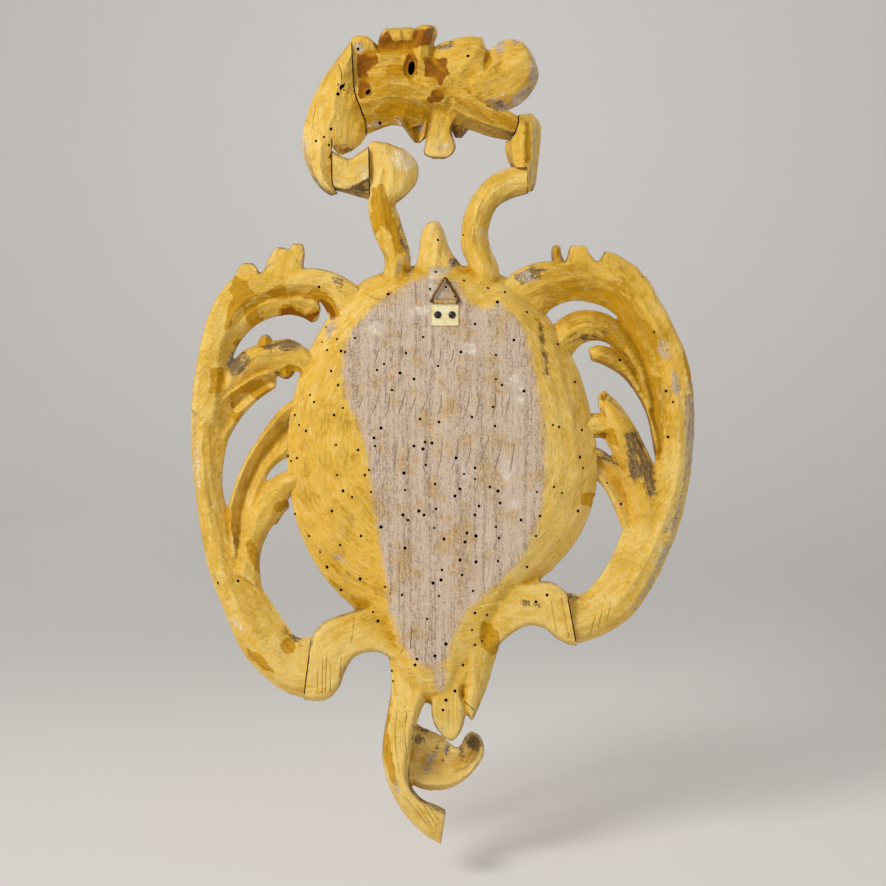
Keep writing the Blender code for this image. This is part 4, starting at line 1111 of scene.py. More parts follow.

# Painted, stained and bare places on the back: outlines, or ovals of middle, two radii and a
# lean in degrees, all in squares.
# Some of the amber, umber and dirt places below are painted shade.
BARE_ZONES = (
    ((400, 290), (382, 300), (368, 312), (352, 330), (345, 345), (341, 372), (346, 395),
     (354, 414), (362, 432), (368, 455), (371, 490), (378, 530), (386, 575), (390, 610),
     (400, 640), (412, 658), (434, 672), (447, 660), (454, 636), (464, 614), (488, 592),
     (516, 564), (536, 532), (543, 500), (545, 460), (542, 420), (536, 385), (530, 350),
     (520, 322), (500, 304), (484, 310), (466, 300), (456, 282), (428, 276), (412, 282)),
    (440, 676, 5, 12, 0),
)
# Amber glaze patches, except those on the arch's inner slope, which are painted shade.
AMBER_AND_SHADE_ZONES = (
    ((235, 276), (247, 281), (248, 287), (257, 295), (242, 307), (235, 313), (230, 327),
     (224, 332), (225, 323), (229, 307), (233, 297), (229, 290)),
    ((265, 294), (268, 290), (282, 282), (287, 288), (287.5, 297), (278, 300), (273, 296)),
    ((242, 310), (252.5, 302.5), (258, 310), (258, 317), (263, 320), (252, 331), (249, 323)),
    # Painted shade: these two zones darken the arch's inner slope under its ridge.
    ((279, 307), (285, 304), (300, 308), (307, 313), (313, 308), (312.5, 302), (320, 313),
     (313, 323), (293, 317.5), (278, 316)),
    ((303, 297.5), (310, 291), (317, 289), (328, 294), (336, 304), (340, 315), (334, 320),
     (329, 316), (320, 302), (313, 299)),
    ((232, 344), (237, 339), (244, 340), (235, 349)),
    ((211, 368), (224, 368), (227, 393), (209, 393)),
    ((229, 394), (251, 380), (261, 379), (272, 391), (256, 401), (249, 393), (239, 394), (230, 401)),
    ((231, 417), (233, 412), (245, 411), (236, 423)),
    ((276, 373), (289, 364), (303, 369), (303, 378), (290, 380)),
    (265, 341, 8, 7, 0), (281, 506, 8, 5, -30), (254, 556, 5, 18, -20), (288, 646, 8, 8, 0),
    (259, 660, 4, 16, -50),
    (490, 639, 10, 17, -18),
    ((582, 493), (595, 493), (591, 507), (581, 504)),
    ((370, 212), (391, 212), (399, 232), (404, 254), (396, 252), (389, 232), (381, 226), (374, 237)),
    (395, 70, 12, 5, 0), (400, 110, 26, 8, 0), (487, 62, 4, 9, 20),
    ((595, 431), (613, 428), (621, 449), (606, 441)),
    (689, 370, 4, 24, -12),
    ((389, 672), (392, 700), (388, 730), (393, 760), (398, 785), (392, 785), (384, 762),
     (381, 740), (385, 700)),
    (657, 452, 4, 12, 0),
    (555, 253, 5, 9, 0), (527, 143, 4, 20, 0), (345, 152, 9, 4, 0),
    ((383, 182), (388, 200), (394, 214), (372, 214), (371, 190)),
)
# Umber stains, and on the arch's inner slope painted shade.
UMBER_AND_SHADE_ZONES = (
    ((357, 54), (376, 52), (379, 62), (368, 72), (370, 80), (357, 78)),
    ((358, 80), (370, 82), (372, 94), (362, 100), (358, 96)),
    ((372, 44), (388, 30), (393, 40), (412, 40), (413, 30), (434, 28), (432, 44), (404, 50), (379, 52)),
    ((424, 58), (447, 59), (449, 74), (440, 86), (432, 78), (424, 76)),
    (437, 96, 7, 7, 10), (411, 66, 7, 13, 4),
    # Painted shade: these two zones darken the arch's inner slope under its ridge.
    ((281, 309), (290, 307), (306, 314), (318, 312), (312, 323), (293, 317.5), (281, 316)),
    ((319, 297), (327, 300), (334, 308), (337, 317), (332, 320), (326, 310)),
    (432, 100, 5, 4, 30), (287, 380, 6, 3, -20), (388, 300, 3, 8, 20),
)
LILAC_ZONES = (
    (536, 70, 8, 28, 0), (524, 97, 17, 10, -40), (499, 104, 19, 7, 22), (500, 46, 9, 8, 0),
    (514, 41, 14, 4, 0), (446, 47, 12, 4, -18), (360, 48, 5, 8, 0), (527, 277, 14, 7, 12),
    (420, 128, 6, 6, 20), (376, 124, 5, 4, 0), (306, 150, 3, 26, 0), (318, 186, 8, 4, 40),
    (338, 182, 14, 3, 20), (417, 165, 3, 14, 0), (534, 140, 3, 26, 0), (530, 172, 4, 10, 10),
    (303, 262, 3, 10, 0), (665, 350, 8, 12, -30), (676, 385, 5, 22, -10), (690, 430, 7, 60, 0),
    (330, 330, 5, 14, 20), (342, 560, 8, 5, 40), (318, 572, 6, 4, 40), (264, 268, 4, 12, 60),
    (195, 440, 3, 60, 0), (300, 345, 6, 5, 0), (232, 360, 6, 10, 30), (560, 312, 18, 3, 0),
    (440, 270, 14, 6, 0), (452, 262, 6, 8, 0), (400, 268, 4, 10, 0), (440, 148, 14, 3, 0),
    (578, 590, 5, 8, 0), (462, 710, 3, 8, 0), (430, 760, 6, 14, 20), (446, 748, 4, 12, 10),
    (398, 790, 4, 16, -30), (670, 520, 4, 16, 20), (206, 560, 3, 22, -20),
    ((684, 400), (692, 402), (693, 440), (687, 490), (674, 541), (655, 583), (634, 614),
     (631, 609), (649, 577), (667, 537), (680, 488), (685, 440)),
)
# Grey-brown dirt, and painted shade in crevices and on undersides.
DIRT_AND_SHADE_ZONES = (
    (238, 364, 11, 14, 35),
    ((262, 346), (275, 339), (292, 337), (303, 342), (300, 349), (270, 352)),
    ((623, 433), (638, 428), (654, 466), (659, 493), (649, 500), (643, 481), (628, 478)),
    ((596, 446), (606, 448), (621, 466), (612, 466), (598, 460)),
    ((537, 320), (541, 320), (552, 376), (545, 377)),
    ((510, 277), (531, 266), (550, 268), (536, 280), (520, 288)),
    # Painted shade among the dirt: the curl's top under the middle leaf, the line under the upper leaf
    # and the crevice between the block and the neck.
    (296, 636, 12, 6, 42), (572, 596, 6, 4, 20), (427, 729, 14, 5, 0), (437, 746, 2.5, 9, 20),
    (418, 738, 6, 9, 10), (462, 752, 3, 12, -10), (446, 754, 2.5, 11, 15),
    (474, 742, 11, 10, 0), (585, 337, 20, 4, -8), (496, 104, 10, 5, 20), (445, 46, 10, 4, -18),
    (404, 240, 4, 22, -14), (368, 188, 2.5, 10, 0), (596, 342, 9, 3, 5), (455, 262, 6, 5, 40),
    (462, 136, 6, 8, 0),
    (338, 282, 5, 9, -50), (530, 604, 12, 3, 0), (360, 190, 9, 8, 0), (609, 398, 4, 5, 0),
    (477, 738, 6, 6, 0), (336, 204, 3, 3, 0), (430, 33, 3, 6, 20), (345, 150, 9, 3, 0),
)
PALE_ZONES = (
    (463, 470, 3.5, 20, 4), (488, 488, 3, 14, 0), (433, 291, 7, 9, 0), (427, 307, 5, 9, 0),
    (357, 48, 4, 6, 0), (372, 125, 5, 3, 0),
    (398, 121, 5, 7, -30), (526, 277, 8, 7, 30), (656, 562, 6, 3, 0), (660, 548, 4, 10, -30),
    (408, 262, 2.5, 16, -12), (388, 775, 3, 14, -10), (404, 160, 14, 12, 0), (362, 173, 8, 10, 0),
    (480, 233, 3, 7, 0), (520, 103, 10, 6, 40), (503, 95, 3, 2, 0), (378, 328, 12, 8, 0),
    (416, 312, 10, 7, 0), (436, 276, 12, 5, 0), (446, 148, 5, 8, 20), (437, 731, 6, 3, 0),
    (470, 348, 9, 8, 0), (198, 470, 3, 40, 0), (692, 470, 3, 34, 0), (232, 620, 3, 24, -50),
    (384, 652, 8, 3, 30), (515, 390, 12, 18, 0), (508, 470, 8, 14, 0), (514, 504, 7, 6, 0),
)

# How deep the ochre is at places on the back: from -1, pale, to 1, saturated. The pale values on the
# lugs, the finial and the tail are partly painted light that brightens them.
OCHRE_DEPTHS = (
    (330, 330, -0.2), (310, 380, 0.0), (300, 450, 0.1), (310, 520, 0.2), (345, 500, 0.3),
    (340, 440, 0.3), (372, 560, 0.4), (350, 596, 0.9), (380, 600, 0.4), (350, 370, 0.2),
    (560, 350, -0.3), (575, 420, -0.5), (550, 470, -0.8), (585, 500, -0.5), (530, 560, -0.8),
    (572, 540, -0.5), (500, 600, -0.5), (470, 640, -0.3), (400, 280, 0.0), (480, 285, 0.0),
    (520, 300, -0.1), (435, 240, -0.5), (388, 240, 0.4), (480, 240, 0.3), (510, 185, -0.2),
    (390, 165, -0.7), (350, 175, -0.6), (325, 120, -0.4), (335, 60, -0.1), (400, 50, 0.7),
    (390, 90, 0.5), (390, 115, 1.3), (375, 108, 0.9), (420, 112, 1.4), (440, 95, 0.4),
    (450, 80, 0.2), (500, 70, 0.2), (525, 70, 0.1),
    (440, 140, -0.6), (480, 115, 0.6), (515, 140, 0.8), (535, 150, -0.6), (250, 275, -0.1),
    (290, 260, 0.0), (320, 285, -0.4), (280, 297, 0.5), (215, 330, -0.2), (205, 400, -0.3),
    (205, 480, -0.3), (225, 440, -0.1), (215, 560, -0.1), (250, 630, -0.2), (290, 670, -0.6),
    (340, 650, -0.7), (270, 450, 0.4), (240, 520, 0.0), (270, 500, 0.0), (600, 270, 0.0),
    (650, 310, 0.0), (600, 300, 1.6), (580, 297, 1.4), (560, 300, 1.0), (615, 312, 1.6),
    (632, 335, 1.5), (640, 360, 1.4), (650, 400, 1.5), (652, 430, 1.0), (668, 370, 0.1),
    (685, 400, -0.7), (690, 460, -0.8), (665, 540, -0.5), (640, 590, -0.3), (600, 620, -0.5),
    (560, 620, -0.4), (590, 335, 0.4), (620, 370, 0.8), (620, 430, 0.0), (630, 500, 0.1),
    (400, 700, -0.4), (400, 760, -0.4), (430, 820, -0.5), (450, 710, -0.4), (475, 680, -0.3),
    (430, 760, -1.5), (455, 765, -1.6), (460, 778, -1.0), (440, 745, -1.5), (478, 752, -1.3),
)
OCHRE_SPREAD = 16.0
OCHRE_GROUND = 0.02
ZONES = {
    "bare": BARE_ZONES, "amber": AMBER_AND_SHADE_ZONES, "umber": UMBER_AND_SHADE_ZONES, "lilac": LILAC_ZONES,
    "dirt_and_shade": DIRT_AND_SHADE_ZONES, "pale": PALE_ZONES,
}
FAR_OUTSIDE = -60.0


def write_attribute(mesh, name, values):
    kind = "FLOAT_VECTOR" if np.ndim(values) == 2 else "FLOAT"
    attribute = mesh.attributes.get(name) or mesh.attributes.new(name, kind, "POINT")
    key = "vector" if np.ndim(values) == 2 else "value"
    attribute.data.foreach_set(key, np.asarray(values, np.float32).ravel())


def read_attribute(mesh, name):
    attribute = mesh.attributes[name]
    width, key = (3, "vector") if attribute.data_type == "FLOAT_VECTOR" else (1, "value")
    values = np.empty(len(mesh.vertices) * width, np.float32)
    attribute.data.foreach_get(key, values)
    return values.reshape(-1, 3) if width == 3 else values


def edge_ends(mesh):
    ends = np.empty(len(mesh.edges) * 2, np.int32)
    mesh.edges.foreach_get("vertices", ends)
    return ends.reshape(-1, 2).T


def standing_proud(mesh, rounds, blur):
    """How far each point stands out of its surroundings: above 0 on ridges, below in hollows."""
    points, normals = read_points(mesh), read_normals(mesh)
    a, b = edge_ends(mesh)
    degree = np.maximum(np.bincount(np.append(a, b), minlength=len(points)), 1)

    def around(values):
        total = np.bincount(a, values[b], len(points)) + np.bincount(b, values[a], len(points))
        return total / degree

    mean = points.copy()
    for axis in range(3):
        for _ in range(rounds):
            mean[:, axis] = around(mean[:, axis])
    proud = ((points - mean) * normals).sum(axis=1) / MILLIMETRE
    for _ in range(blur):
        proud = 0.5 * proud + 0.5 * around(proud)
    return proud


SHAPE_ATTRIBUTES = ("proud", "hollow", "facing", "course", "even")
COURSE_JUMP = 10.0  # millimetres


def record_shape(mesh, course):
    """Writes what the wood's material reads from the shape, before the piece is cut."""
    write_attribute(mesh, "proud", standing_proud(mesh, 1, 3))
    write_attribute(mesh, "hollow", -standing_proud(mesh, 16, 2))
    write_attribute(mesh, "facing", read_normals(mesh)[:, 1])
    write_attribute(mesh, "course", course)
    write_attribute(mesh, "kept", np.ones(len(mesh.vertices)))
    a, b = edge_ends(mesh)
    jumps = np.hypot(*(course[a] - course[b]).T[:2]) > COURSE_JUMP
    even = np.ones(len(mesh.vertices))
    even[a[jumps]] = 0
    even[b[jumps]] = 0
    write_attribute(mesh, "even", even)


def mend_shape(mesh):
    """Gives each point made by a cut the values of the nearest older point."""
    kept = read_attribute(mesh, "kept") > 0.5
    points = read_points(mesh)
    tree = KDTree(int(kept.sum()))
    for index in np.flatnonzero(kept):
        tree.insert(points[index], int(index))
    tree.balance()
    nearest = [tree.find(point)[1] for point in points[~kept]]
    for name in SHAPE_ATTRIBUTES:
        values = read_attribute(mesh, name)
        values[~kept] = values[nearest]
        write_attribute(mesh, name, values)


def paint(mesh):
    """Writes where the wood's material finds each colour, by places on the template."""
    u, v, _ = on_template(read_points(mesh))
    weights = np.full(len(u), OCHRE_GROUND)
    ochre = np.zeros(len(u))
    for place_u, place_v, value in OCHRE_DEPTHS:
        weight = np.exp(-((u - place_u) ** 2 + (v - place_v) ** 2) / (2 * OCHRE_SPREAD**2))
        weights += weight
        ochre += weight * value
    write_attribute(mesh, "ochre", ochre / weights)
    for name, zones in ZONES.items():
        write_attribute(mesh, name, zone_distance(u, v, zones))


class Nodes:
    """Builds a material's nodes. An input is a number, a colour or another node's output."""

    def __init__(self, name):
        self.material = bpy.data.materials.new(name)
        self.material.use_nodes = True
        self.tree = self.material.node_tree
        self.shader = self.tree.nodes["Principled BSDF"]
        self.coordinates = self.tree.nodes.new("ShaderNodeTexCoord").outputs["Object"]

    def feed(self, socket, value):
        if isinstance(value, bpy.types.NodeSocket):
            self.tree.links.new(value, socket)
        else:
            socket.default_value = value

    def node(self, kind, inputs=(), **settings):
        made = self.tree.nodes.new(kind)
        for key, value in settings.items():
            setattr(made, key, value)
        for key, value in dict(inputs).items():
            self.feed(made.inputs[key], value)
        return made

    def attribute(self, name, output="Fac"):
        return self.node("ShaderNodeAttribute", attribute_name=name).outputs[output]

    def maths(self, operation, a, b=0.0):
        return self.node("ShaderNodeMath", {0: a, 1: b}, operation=operation).outputs[0]

    def add(self, a, b):
        return self.maths("ADD", a, b)

    def times(self, a, b):
        return self.maths("MULTIPLY", a, b)

    def less(self, value):
        return self.maths("SUBTRACT", 1.0, value)

    def total(self, *parts):
        """The sum of values, each given alone or with its weight."""
        first, *rest = [self.times(*part) if isinstance(part, tuple) else part for part in parts]
        for part in rest:
            first = self.add(first, part)
        return first

    def zone(self, name, most=None):
        """Squares inside a kind of zone, held to a most where one is given."""
        inside = self.attribute(name)
        return self.maths("MINIMUM", inside, most) if most else inside

    def fit(self, value, low, high, to_low=0.0, to_high=1.0):
        """The value carried from low..high to to_low..to_high, smoothly and within them."""
        inputs = {
            "Value": value, "From Min": low, "From Max": high, "To Min": to_low, "To Max": to_high,
        }
        return self.node("ShaderNodeMapRange", inputs, interpolation_type="SMOOTHSTEP").outputs[0]

    def mix(self, a, b, factor):
        made = self.node("ShaderNodeMix", data_type="RGBA")
        self.feed(made.inputs[0], factor)
        self.feed(made.inputs[6], a)
        self.feed(made.inputs[7], b)
        return made.outputs[2]

    def over(self, base, top, value, low, high, at_high=1.0, at_low=0.0):
        """Lays another colour over the base, more or less as the value runs from low to high."""
        return self.mix(base, top, self.fit(value, low, high, at_low, at_high))

    def stretched(self, stretch, shift=(0, 0, 0), where=None):
        inputs = {"Vector": where or self.coordinates, "Scale": stretch, "Location": shift}
        return self.node("ShaderNodeMapping", inputs).outputs[0]

    def noise(self, scale, detail=2.0, stretch=(1, 1, 1), rough=0.5, shift=(0, 0, 0), where=None):
        """Noise round zero, mostly from -0.25 to 0.25. Scale counts features in a unit."""
        inputs = {
            "Vector": self.stretched(stretch, shift, where), "Scale": scale, "Detail": detail,
            "Roughness": rough,
        }
        flat = {"noise_dimensions": "2D"} if where else {}
        return self.add(self.node("ShaderNodeTexNoise", inputs, **flat).outputs["Fac"], -0.5)

    def cells(self, where, stretch, warp):
        """Irregular flat cells: a random number for each, and the distance from its middle."""
        even = self.stretched(stretch, where=where)
        inputs = {"Vector": even, "Scale": 1.0, "Detail": 1.0}
        wobble = self.node("ShaderNodeTexNoise", inputs, noise_dimensions="2D").outputs["Color"]
        inputs = {0: wobble, 1: (warp,) * 3, 2: even}
        moved = self.node("ShaderNodeVectorMath", inputs, operation="MULTIPLY_ADD")
        inputs = {"Vector": moved.outputs[0], "Scale": 1.0}
        made = self.node("ShaderNodeTexVoronoi", inputs, voronoi_dimensions="2D")
        number = self.node("ShaderNodeSeparateColor", {0: made.outputs["Color"]}).outputs[0]
        return number, made.outputs["Distance"]

    def line(self, value, width):
        """1 where the value is near zero, in lines of about this half-width."""
        return self.fit(self.maths("ABSOLUTE", value), 0.0, width, 1.0, 0.0)

    def surface(self, values):
        """Sets the shader's own inputs."""
        for name, value in values.items():
            self.feed(self.shader.inputs[name], value)

    def bump(self, height, distance):
        inputs = {"Height": height, "Distance": distance, "Strength": 1.0}
        self.surface({"Normal": self.node("ShaderNodeBump", inputs).outputs[0]})


def colour(code):
    """A shader colour from six hexadecimal digits of sRGB."""
    values = [int(code[i : i + 2], 16) / 255 for i in (0, 2, 4)]
    linear = [x / 12.92 if x <= 0.04045 else ((x + 0.055) / 1.055) ** 2.4 for x in values]
    return (*linear, 1.0)


CREAM = colour("EBD6A0")
PALE_OCHRE = colour("E9C870")
OCHRE = colour("E0B445")
DEEP_OCHRE = colour("B78B1B")
AMBER = colour("C89308")
UMBER = colour("8C4F05")
DARK_AMBER = colour("704106")
EDGE_BROWN = colour("6B4A26")
LINE_BROWN = colour("7A5420")
# Colours of the sides, also laid as painted shade where they turn away.
SIDE_BROWN = colour("6F4E26")
SIDE_GREY = colour("B09A78")
BARE_WOOD = colour("D0BCA8")
BARE_WOOD_DARK = colour("7E6754")
BARE_WOOD_TAN = colour("CFAA6C")
# Dirt colours, also laid as painted shade in the crevices among the dirt zones.
GREY_DIRT_AND_SHADE = colour("7C6850")
DARK_DIRT_AND_SHADE = colour("433426")
LILAC_GESSO = colour("C3B3A6")
GESSO = colour("EEE6DC")
GOLD = colour("D9A441")
GOLD_SHADE = colour("9C6B22")
BOLE = colour("74301C")
HOLE_BROWN = colour("180E08")
PENCIL_GREY = colour("74665A")


def wood_patterns(n):
    """The noises and shape values that the wood's layers share."""
    p = SimpleNamespace(even=n.attribute("even"), facing=n.attribute("facing"))
    p.fibres = n.noise(1000, 3, stretch=(1, 1, 0.14), rough=0.7)
    p.rings = n.noise(330, 2, stretch=(1, 1, 0.03), rough=0.6, shift=(4, 0, 1))
    p.pores = n.noise(1500, 1, stretch=(1, 1, 0.1), rough=0.6)
    p.cloud = n.noise(45, 3, rough=0.6)
    p.smudge = n.noise(150, 4, rough=0.65, shift=(3, 1, 2))
    p.speck = n.noise(620, 3, rough=0.7)
    p.rough_edge = n.noise(260, 3, rough=0.7, shift=(1, 5, 2))
    p.proud, p.hollow = n.attribute("proud"), n.attribute("hollow")
    course = n.attribute("course", "Vector")
    streak = n.noise(0.5, 4, stretch=(0.16, 1, 1), rough=0.7, where=course)
    brush = n.noise(0.9, 2, stretch=(0.07, 1, 1), rough=0.6, shift=(7, 2, 0), where=course)
    tone, scoop = n.cells(course, (0.08, 0.19, 1), 0.8)
    p.streak, p.brush = n.times(streak, p.even), n.times(brush, p.even)
    p.tone, p.scoop = n.times(n.add(tone, -0.5), p.even), n.times(n.add(scoop, -0.4), p.even)
    hair = n.line(n.total((p.streak, 0.9), (p.speck, 0.25)), 0.012)
    p.hair = n.times(n.times(hair, n.fit(p.cloud, -0.05, 0.1)), n.times(p.even, 0.6))
    return p


def ochre_wash(n, p):
    """The ochre wash, brushed on thinly and run into amber in the low places; the darkening of the
    hollows is painted shade.
    """
    # Painted shade: the hollow measure deepens the ochre in recesses.
    ochre = n.total(
        n.attribute("ochre"), (p.cloud, 1.3), (p.tone, 0.6), (p.smudge, 1.6), (p.streak, 2.4),
        (p.hollow, 0.5),
    )
    wash = n.over(PALE_OCHRE, OCHRE, ochre, -1.0, 0.1)
    wash = n.over(wash, DEEP_OCHRE, ochre, 0.1, 1.3)
    wash = n.over(wash, AMBER, ochre, 1.0, 2.2, 0.8)
    wash = n.over(wash, CREAM, n.total((p.brush, 1.3), (p.speck, 0.8)), 0.06, 0.4, 0.5)
    wash = n.over(wash, CREAM, n.total(p.speck, (p.smudge, 0.5)), -0.34, -0.06, 0.0, 0.3)

    # Amber glaze patches, and painted shade on the arch's inner slope.
    amber_and_shade_edge = n.total(n.zone("amber"), (p.rough_edge, 5.0), (p.smudge, 6.0))
    amber_tone = n.total((p.smudge, 1.4), (p.streak, 1.6))
    amber = n.over(AMBER, DARK_AMBER, amber_tone, -0.1, 0.95)
    amber = n.mix(amber, DARK_AMBER, n.times(n.line(n.add(amber_and_shade_edge, -0.7), 0.9), 0.25))
    wash = n.over(wash, amber, amber_and_shade_edge, -0.6, 0.8, 0.85)
    # Umber stains, and painted shade on the arch's inner slope.
    umber_and_shade_edge = n.total(n.zone("umber"), (p.rough_edge, 5.0), (p.smudge, 7.0))
    umber = n.over(UMBER, DARK_AMBER, amber_tone, 0.0, 0.6, 0.8)
    wash = n.over(wash, umber, umber_and_shade_edge, -0.5, 0.8, 0.94)
    # Painted shade: the hollow measure, with the wash's own depth and smudges, lays amber and dark
    # amber into the low places.
    low_stain_and_shade = n.total(p.hollow, (n.attribute("ochre"), 0.5), (p.smudge, 1.6))
    wash = n.over(wash, AMBER, low_stain_and_shade, 0.2, 1.0, 0.65)
    return n.over(wash, DARK_AMBER, low_stain_and_shade, 0.9, 2.4, 0.8)


def wear(n, p, wash):
    """Fine dark lines, scuffs down to the ground, dirty patches with painted shade in crevices and
    under leaves, and ridges rubbed pale.
    """
    grit = n.add(p.speck, p.streak)
    wash = n.over(wash, LINE_BROWN, n.total(p.speck, (p.pores, 0.5)), 0.02, 0.36, 0.4)
    wash = n.mix(wash, LINE_BROWN, p.hair)
    scuff = n.total(n.zone("lilac", 4.0), (p.smudge, 14.0), (p.streak, 9.0), (p.speck, 7.0))
    lilac = n.over(LILAC_GESSO, GREY_DIRT_AND_SHADE, grit, -0.05, 0.3, 0.8)
    wash = n.over(wash, lilac, scuff, 0.5, 4.2, 0.85)
    # Dirt, and painted shade where the zones lie in crevices and under leaves.
    dirt_and_shade_edge = n.total(n.zone("dirt_and_shade", 4.0), (p.smudge, 16.0), (grit, 10.0))
    dirt_and_shade = n.over(GREY_DIRT_AND_SHADE, DARK_DIRT_AND_SHADE, n.total(p.speck, (p.streak, 1.2)), -0.15, 0.35)
    wash = n.over(wash, dirt_and_shade, dirt_and_shade_edge, -0.5, 4.0, 0.88)
    wash = n.over(wash, EDGE_BROWN, n.total(p.speck, (p.smudge, 0.9)), 0.24, 0.36, 0.75)
    return n.over(wash, CREAM, n.total(p.proud, (p.smudge, 0.25)), 0.1, 0.26, 0.4)


def bare_grain(n, p):
    """The bare wood of the middle."""
    tan = n.total(p.cloud, (p.smudge, 0.8))
    dark_grain = n.total(p.fibres, (p.rings, 0.8), (p.speck, 0.9))
    light_grain = n.total((p.pores, 0.7), (p.fibres, -0.5), (p.speck, -0.6), (p.smudge, 0.5))
    grain = n.over(BARE_WOOD, BARE_WOOD_TAN, tan, -0.06, 0.24, 0.75)
    grain = n.over(grain, BARE_WOOD_DARK, dark_grain, -0.14, 0.42, 0.86)
    return n.over(grain, GESSO, light_grain, 0.06, 0.4, 0.6)


def gilding(n, p):
    """The front's leaf, with the shares of it that are rubbed to bole or chipped to gesso."""
    worn = n.total((p.proud, 1.4), (p.smudge, 0.25), (p.speck, 0.12))
    rub = n.fit(worn, 0.10, 0.16)
    chip = n.fit(n.total(worn, (p.rough_edge, 0.2)), 0.24, 0.28)
    # Gold darkened at random and, by the hollow measure, with painted shade in the front's hollows.
    leaf = n.over(GOLD, GOLD_SHADE, n.total(p.cloud, (p.hollow, 0.3)), 0.0, 0.5)
    leaf = n.mix(n.mix(leaf, BOLE, n.times(rub, 0.85)), GESSO, chip)
    return leaf, rub, chip


def wood_look():
    """Carved wood: bare in the middle, washed with ochre behind, gilt in front."""
    n = Nodes("carved wood")
    p = wood_patterns(n)
    bare_edge = n.total(n.zone("bare"), (p.rough_edge, 12.0), (p.smudge, 8.0), (p.fibres, 16.0))
    bare = n.fit(bare_edge, -3.5, 3.0)
    back = n.mix(wear(n, p, ochre_wash(n, p)), bare_grain(n, p), bare)
    pale_edge = n.total(n.zone("pale", 2.5), (p.speck, 14.0), (p.fibres, 10.0), (p.smudge, 16.0))
    chalk = n.fit(pale_edge, 0.5, 6.5, 0.0, 0.85)
    back = n.mix(back, GESSO, chalk)
    # The sides turning away from the back: partly their own worn brown and grey, partly painted shade
    # along the edges.
    side = n.over(SIDE_BROWN, SIDE_GREY, n.total(p.streak, (p.smudge, 1.4)), -0.2, 0.35)
    side_brown_and_shade_mask = n.total(p.facing, (p.smudge, 0.5), (p.speck, 0.5))
    back = n.over(back, side, side_brown_and_shade_mask, 0.14, 0.56, 0.0, 0.85)

    leaf, rub, chip = gilding(n, p)
    gilt = n.fit(n.total(p.facing, (p.smudge, 0.5)), -0.3, -0.15, 1.0, 0.0)
    metal = n.times(gilt, n.less(n.maths("MAXIMUM", rub, chip)))
    matt = n.total(0.66, (p.smudge, 0.3))
    n.surface({
        "Base Color": n.mix(back, leaf, gilt),
        "Metallic": n.times(metal, 0.9),
        "Specular IOR Level": n.fit(gilt, 0.0, 1.0, 0.12, 0.5),
        "Roughness": n.node("ShaderNodeMix", {0: metal, 2: matt, 3: 0.36}).outputs[0],
    })
    relief = n.times(n.times(n.less(bare), n.less(gilt)), 0.8)
    n.bump(n.total(
        (n.total(p.scoop, (p.streak, 0.9)), relief), (p.fibres, 0.6), (p.speck, 0.35),
        (chalk, 0.2), (p.hair, -0.3),
    ), 0.0007)
    return n.material


# Rougher than this, a plain surface hardly shines.
MATT = 0.6


def plain_look(name, base, other, roughness, metallic=0.0, scale=400.0):
    """A material of two colours mixed by noise."""
    n = Nodes(name)
    n.surface({
        "Base Color": n.over(base, other, n.noise(scale, 4), -0.2, 0.25),
        "Metallic": metallic,
        "Roughness": n.fit(n.noise(scale / 2, 3), -0.3, 0.3, roughness - 0.1, roughness + 0.12),
    })
    n.bump(n.noise(scale * 2, 3), 0.0001)
    if roughness > MATT:
        n.surface({"Specular IOR Level": 0.1})
    return n.material


def grooves(obj, lines):
    """Cuts a narrow dark groove into the back along each joint line."""
    tree = tree_of(obj)
    for shell in [engrave(tree, line, JOINT_GROOVE, JOINT_GROOVE, steps=10) for line in lines]:
        if shell:
            cut(obj, [shell], DARK)


# Edges sharper than these aren't smoothed.
CARVED_CREASE = math.radians(55)
FITTING_CREASE = math.radians(40)


def carve(name, limbs, voxel, joints, lines, body=False):
    """One wooden piece: its limbs fused, worked over, cut at its joints and painted.

    Joints holds lists of closed skins, and the skins of one list stand apart.
    """
    shells = [skin(limb_rings(shape)) for shape in limbs]
    if body:
        shells += [skin(shield_rings()), skin(boss_rings())]
    obj = object_of(f"{name}_carving", shells)
    fuse(obj, voxel)
    course = work_over(obj.data, limbs, shield=body)
    keep_inside(obj.data)
    record_shape(obj.data, course)
    obj.data.materials.append(WOOD)
    grooves(obj, lines)
    for shells in joints:
        cut(obj, shells, WOOD)
    pierce(obj)
    if body:
        tree = tree_of(obj)
        for batch in apart(shallow_strokes()):
            cut(obj, [engrave(tree, line, STROKE_WIDTH, STROKE_DEPTH) for line in batch], PENCIL)
    mend_shape(obj.data)
    paint(obj.data)
    obj.data.shade_smooth()
    obj.data.set_sharp_from_angle(angle=CARVED_CREASE)
    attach(obj, "plaque")
    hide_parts(name)


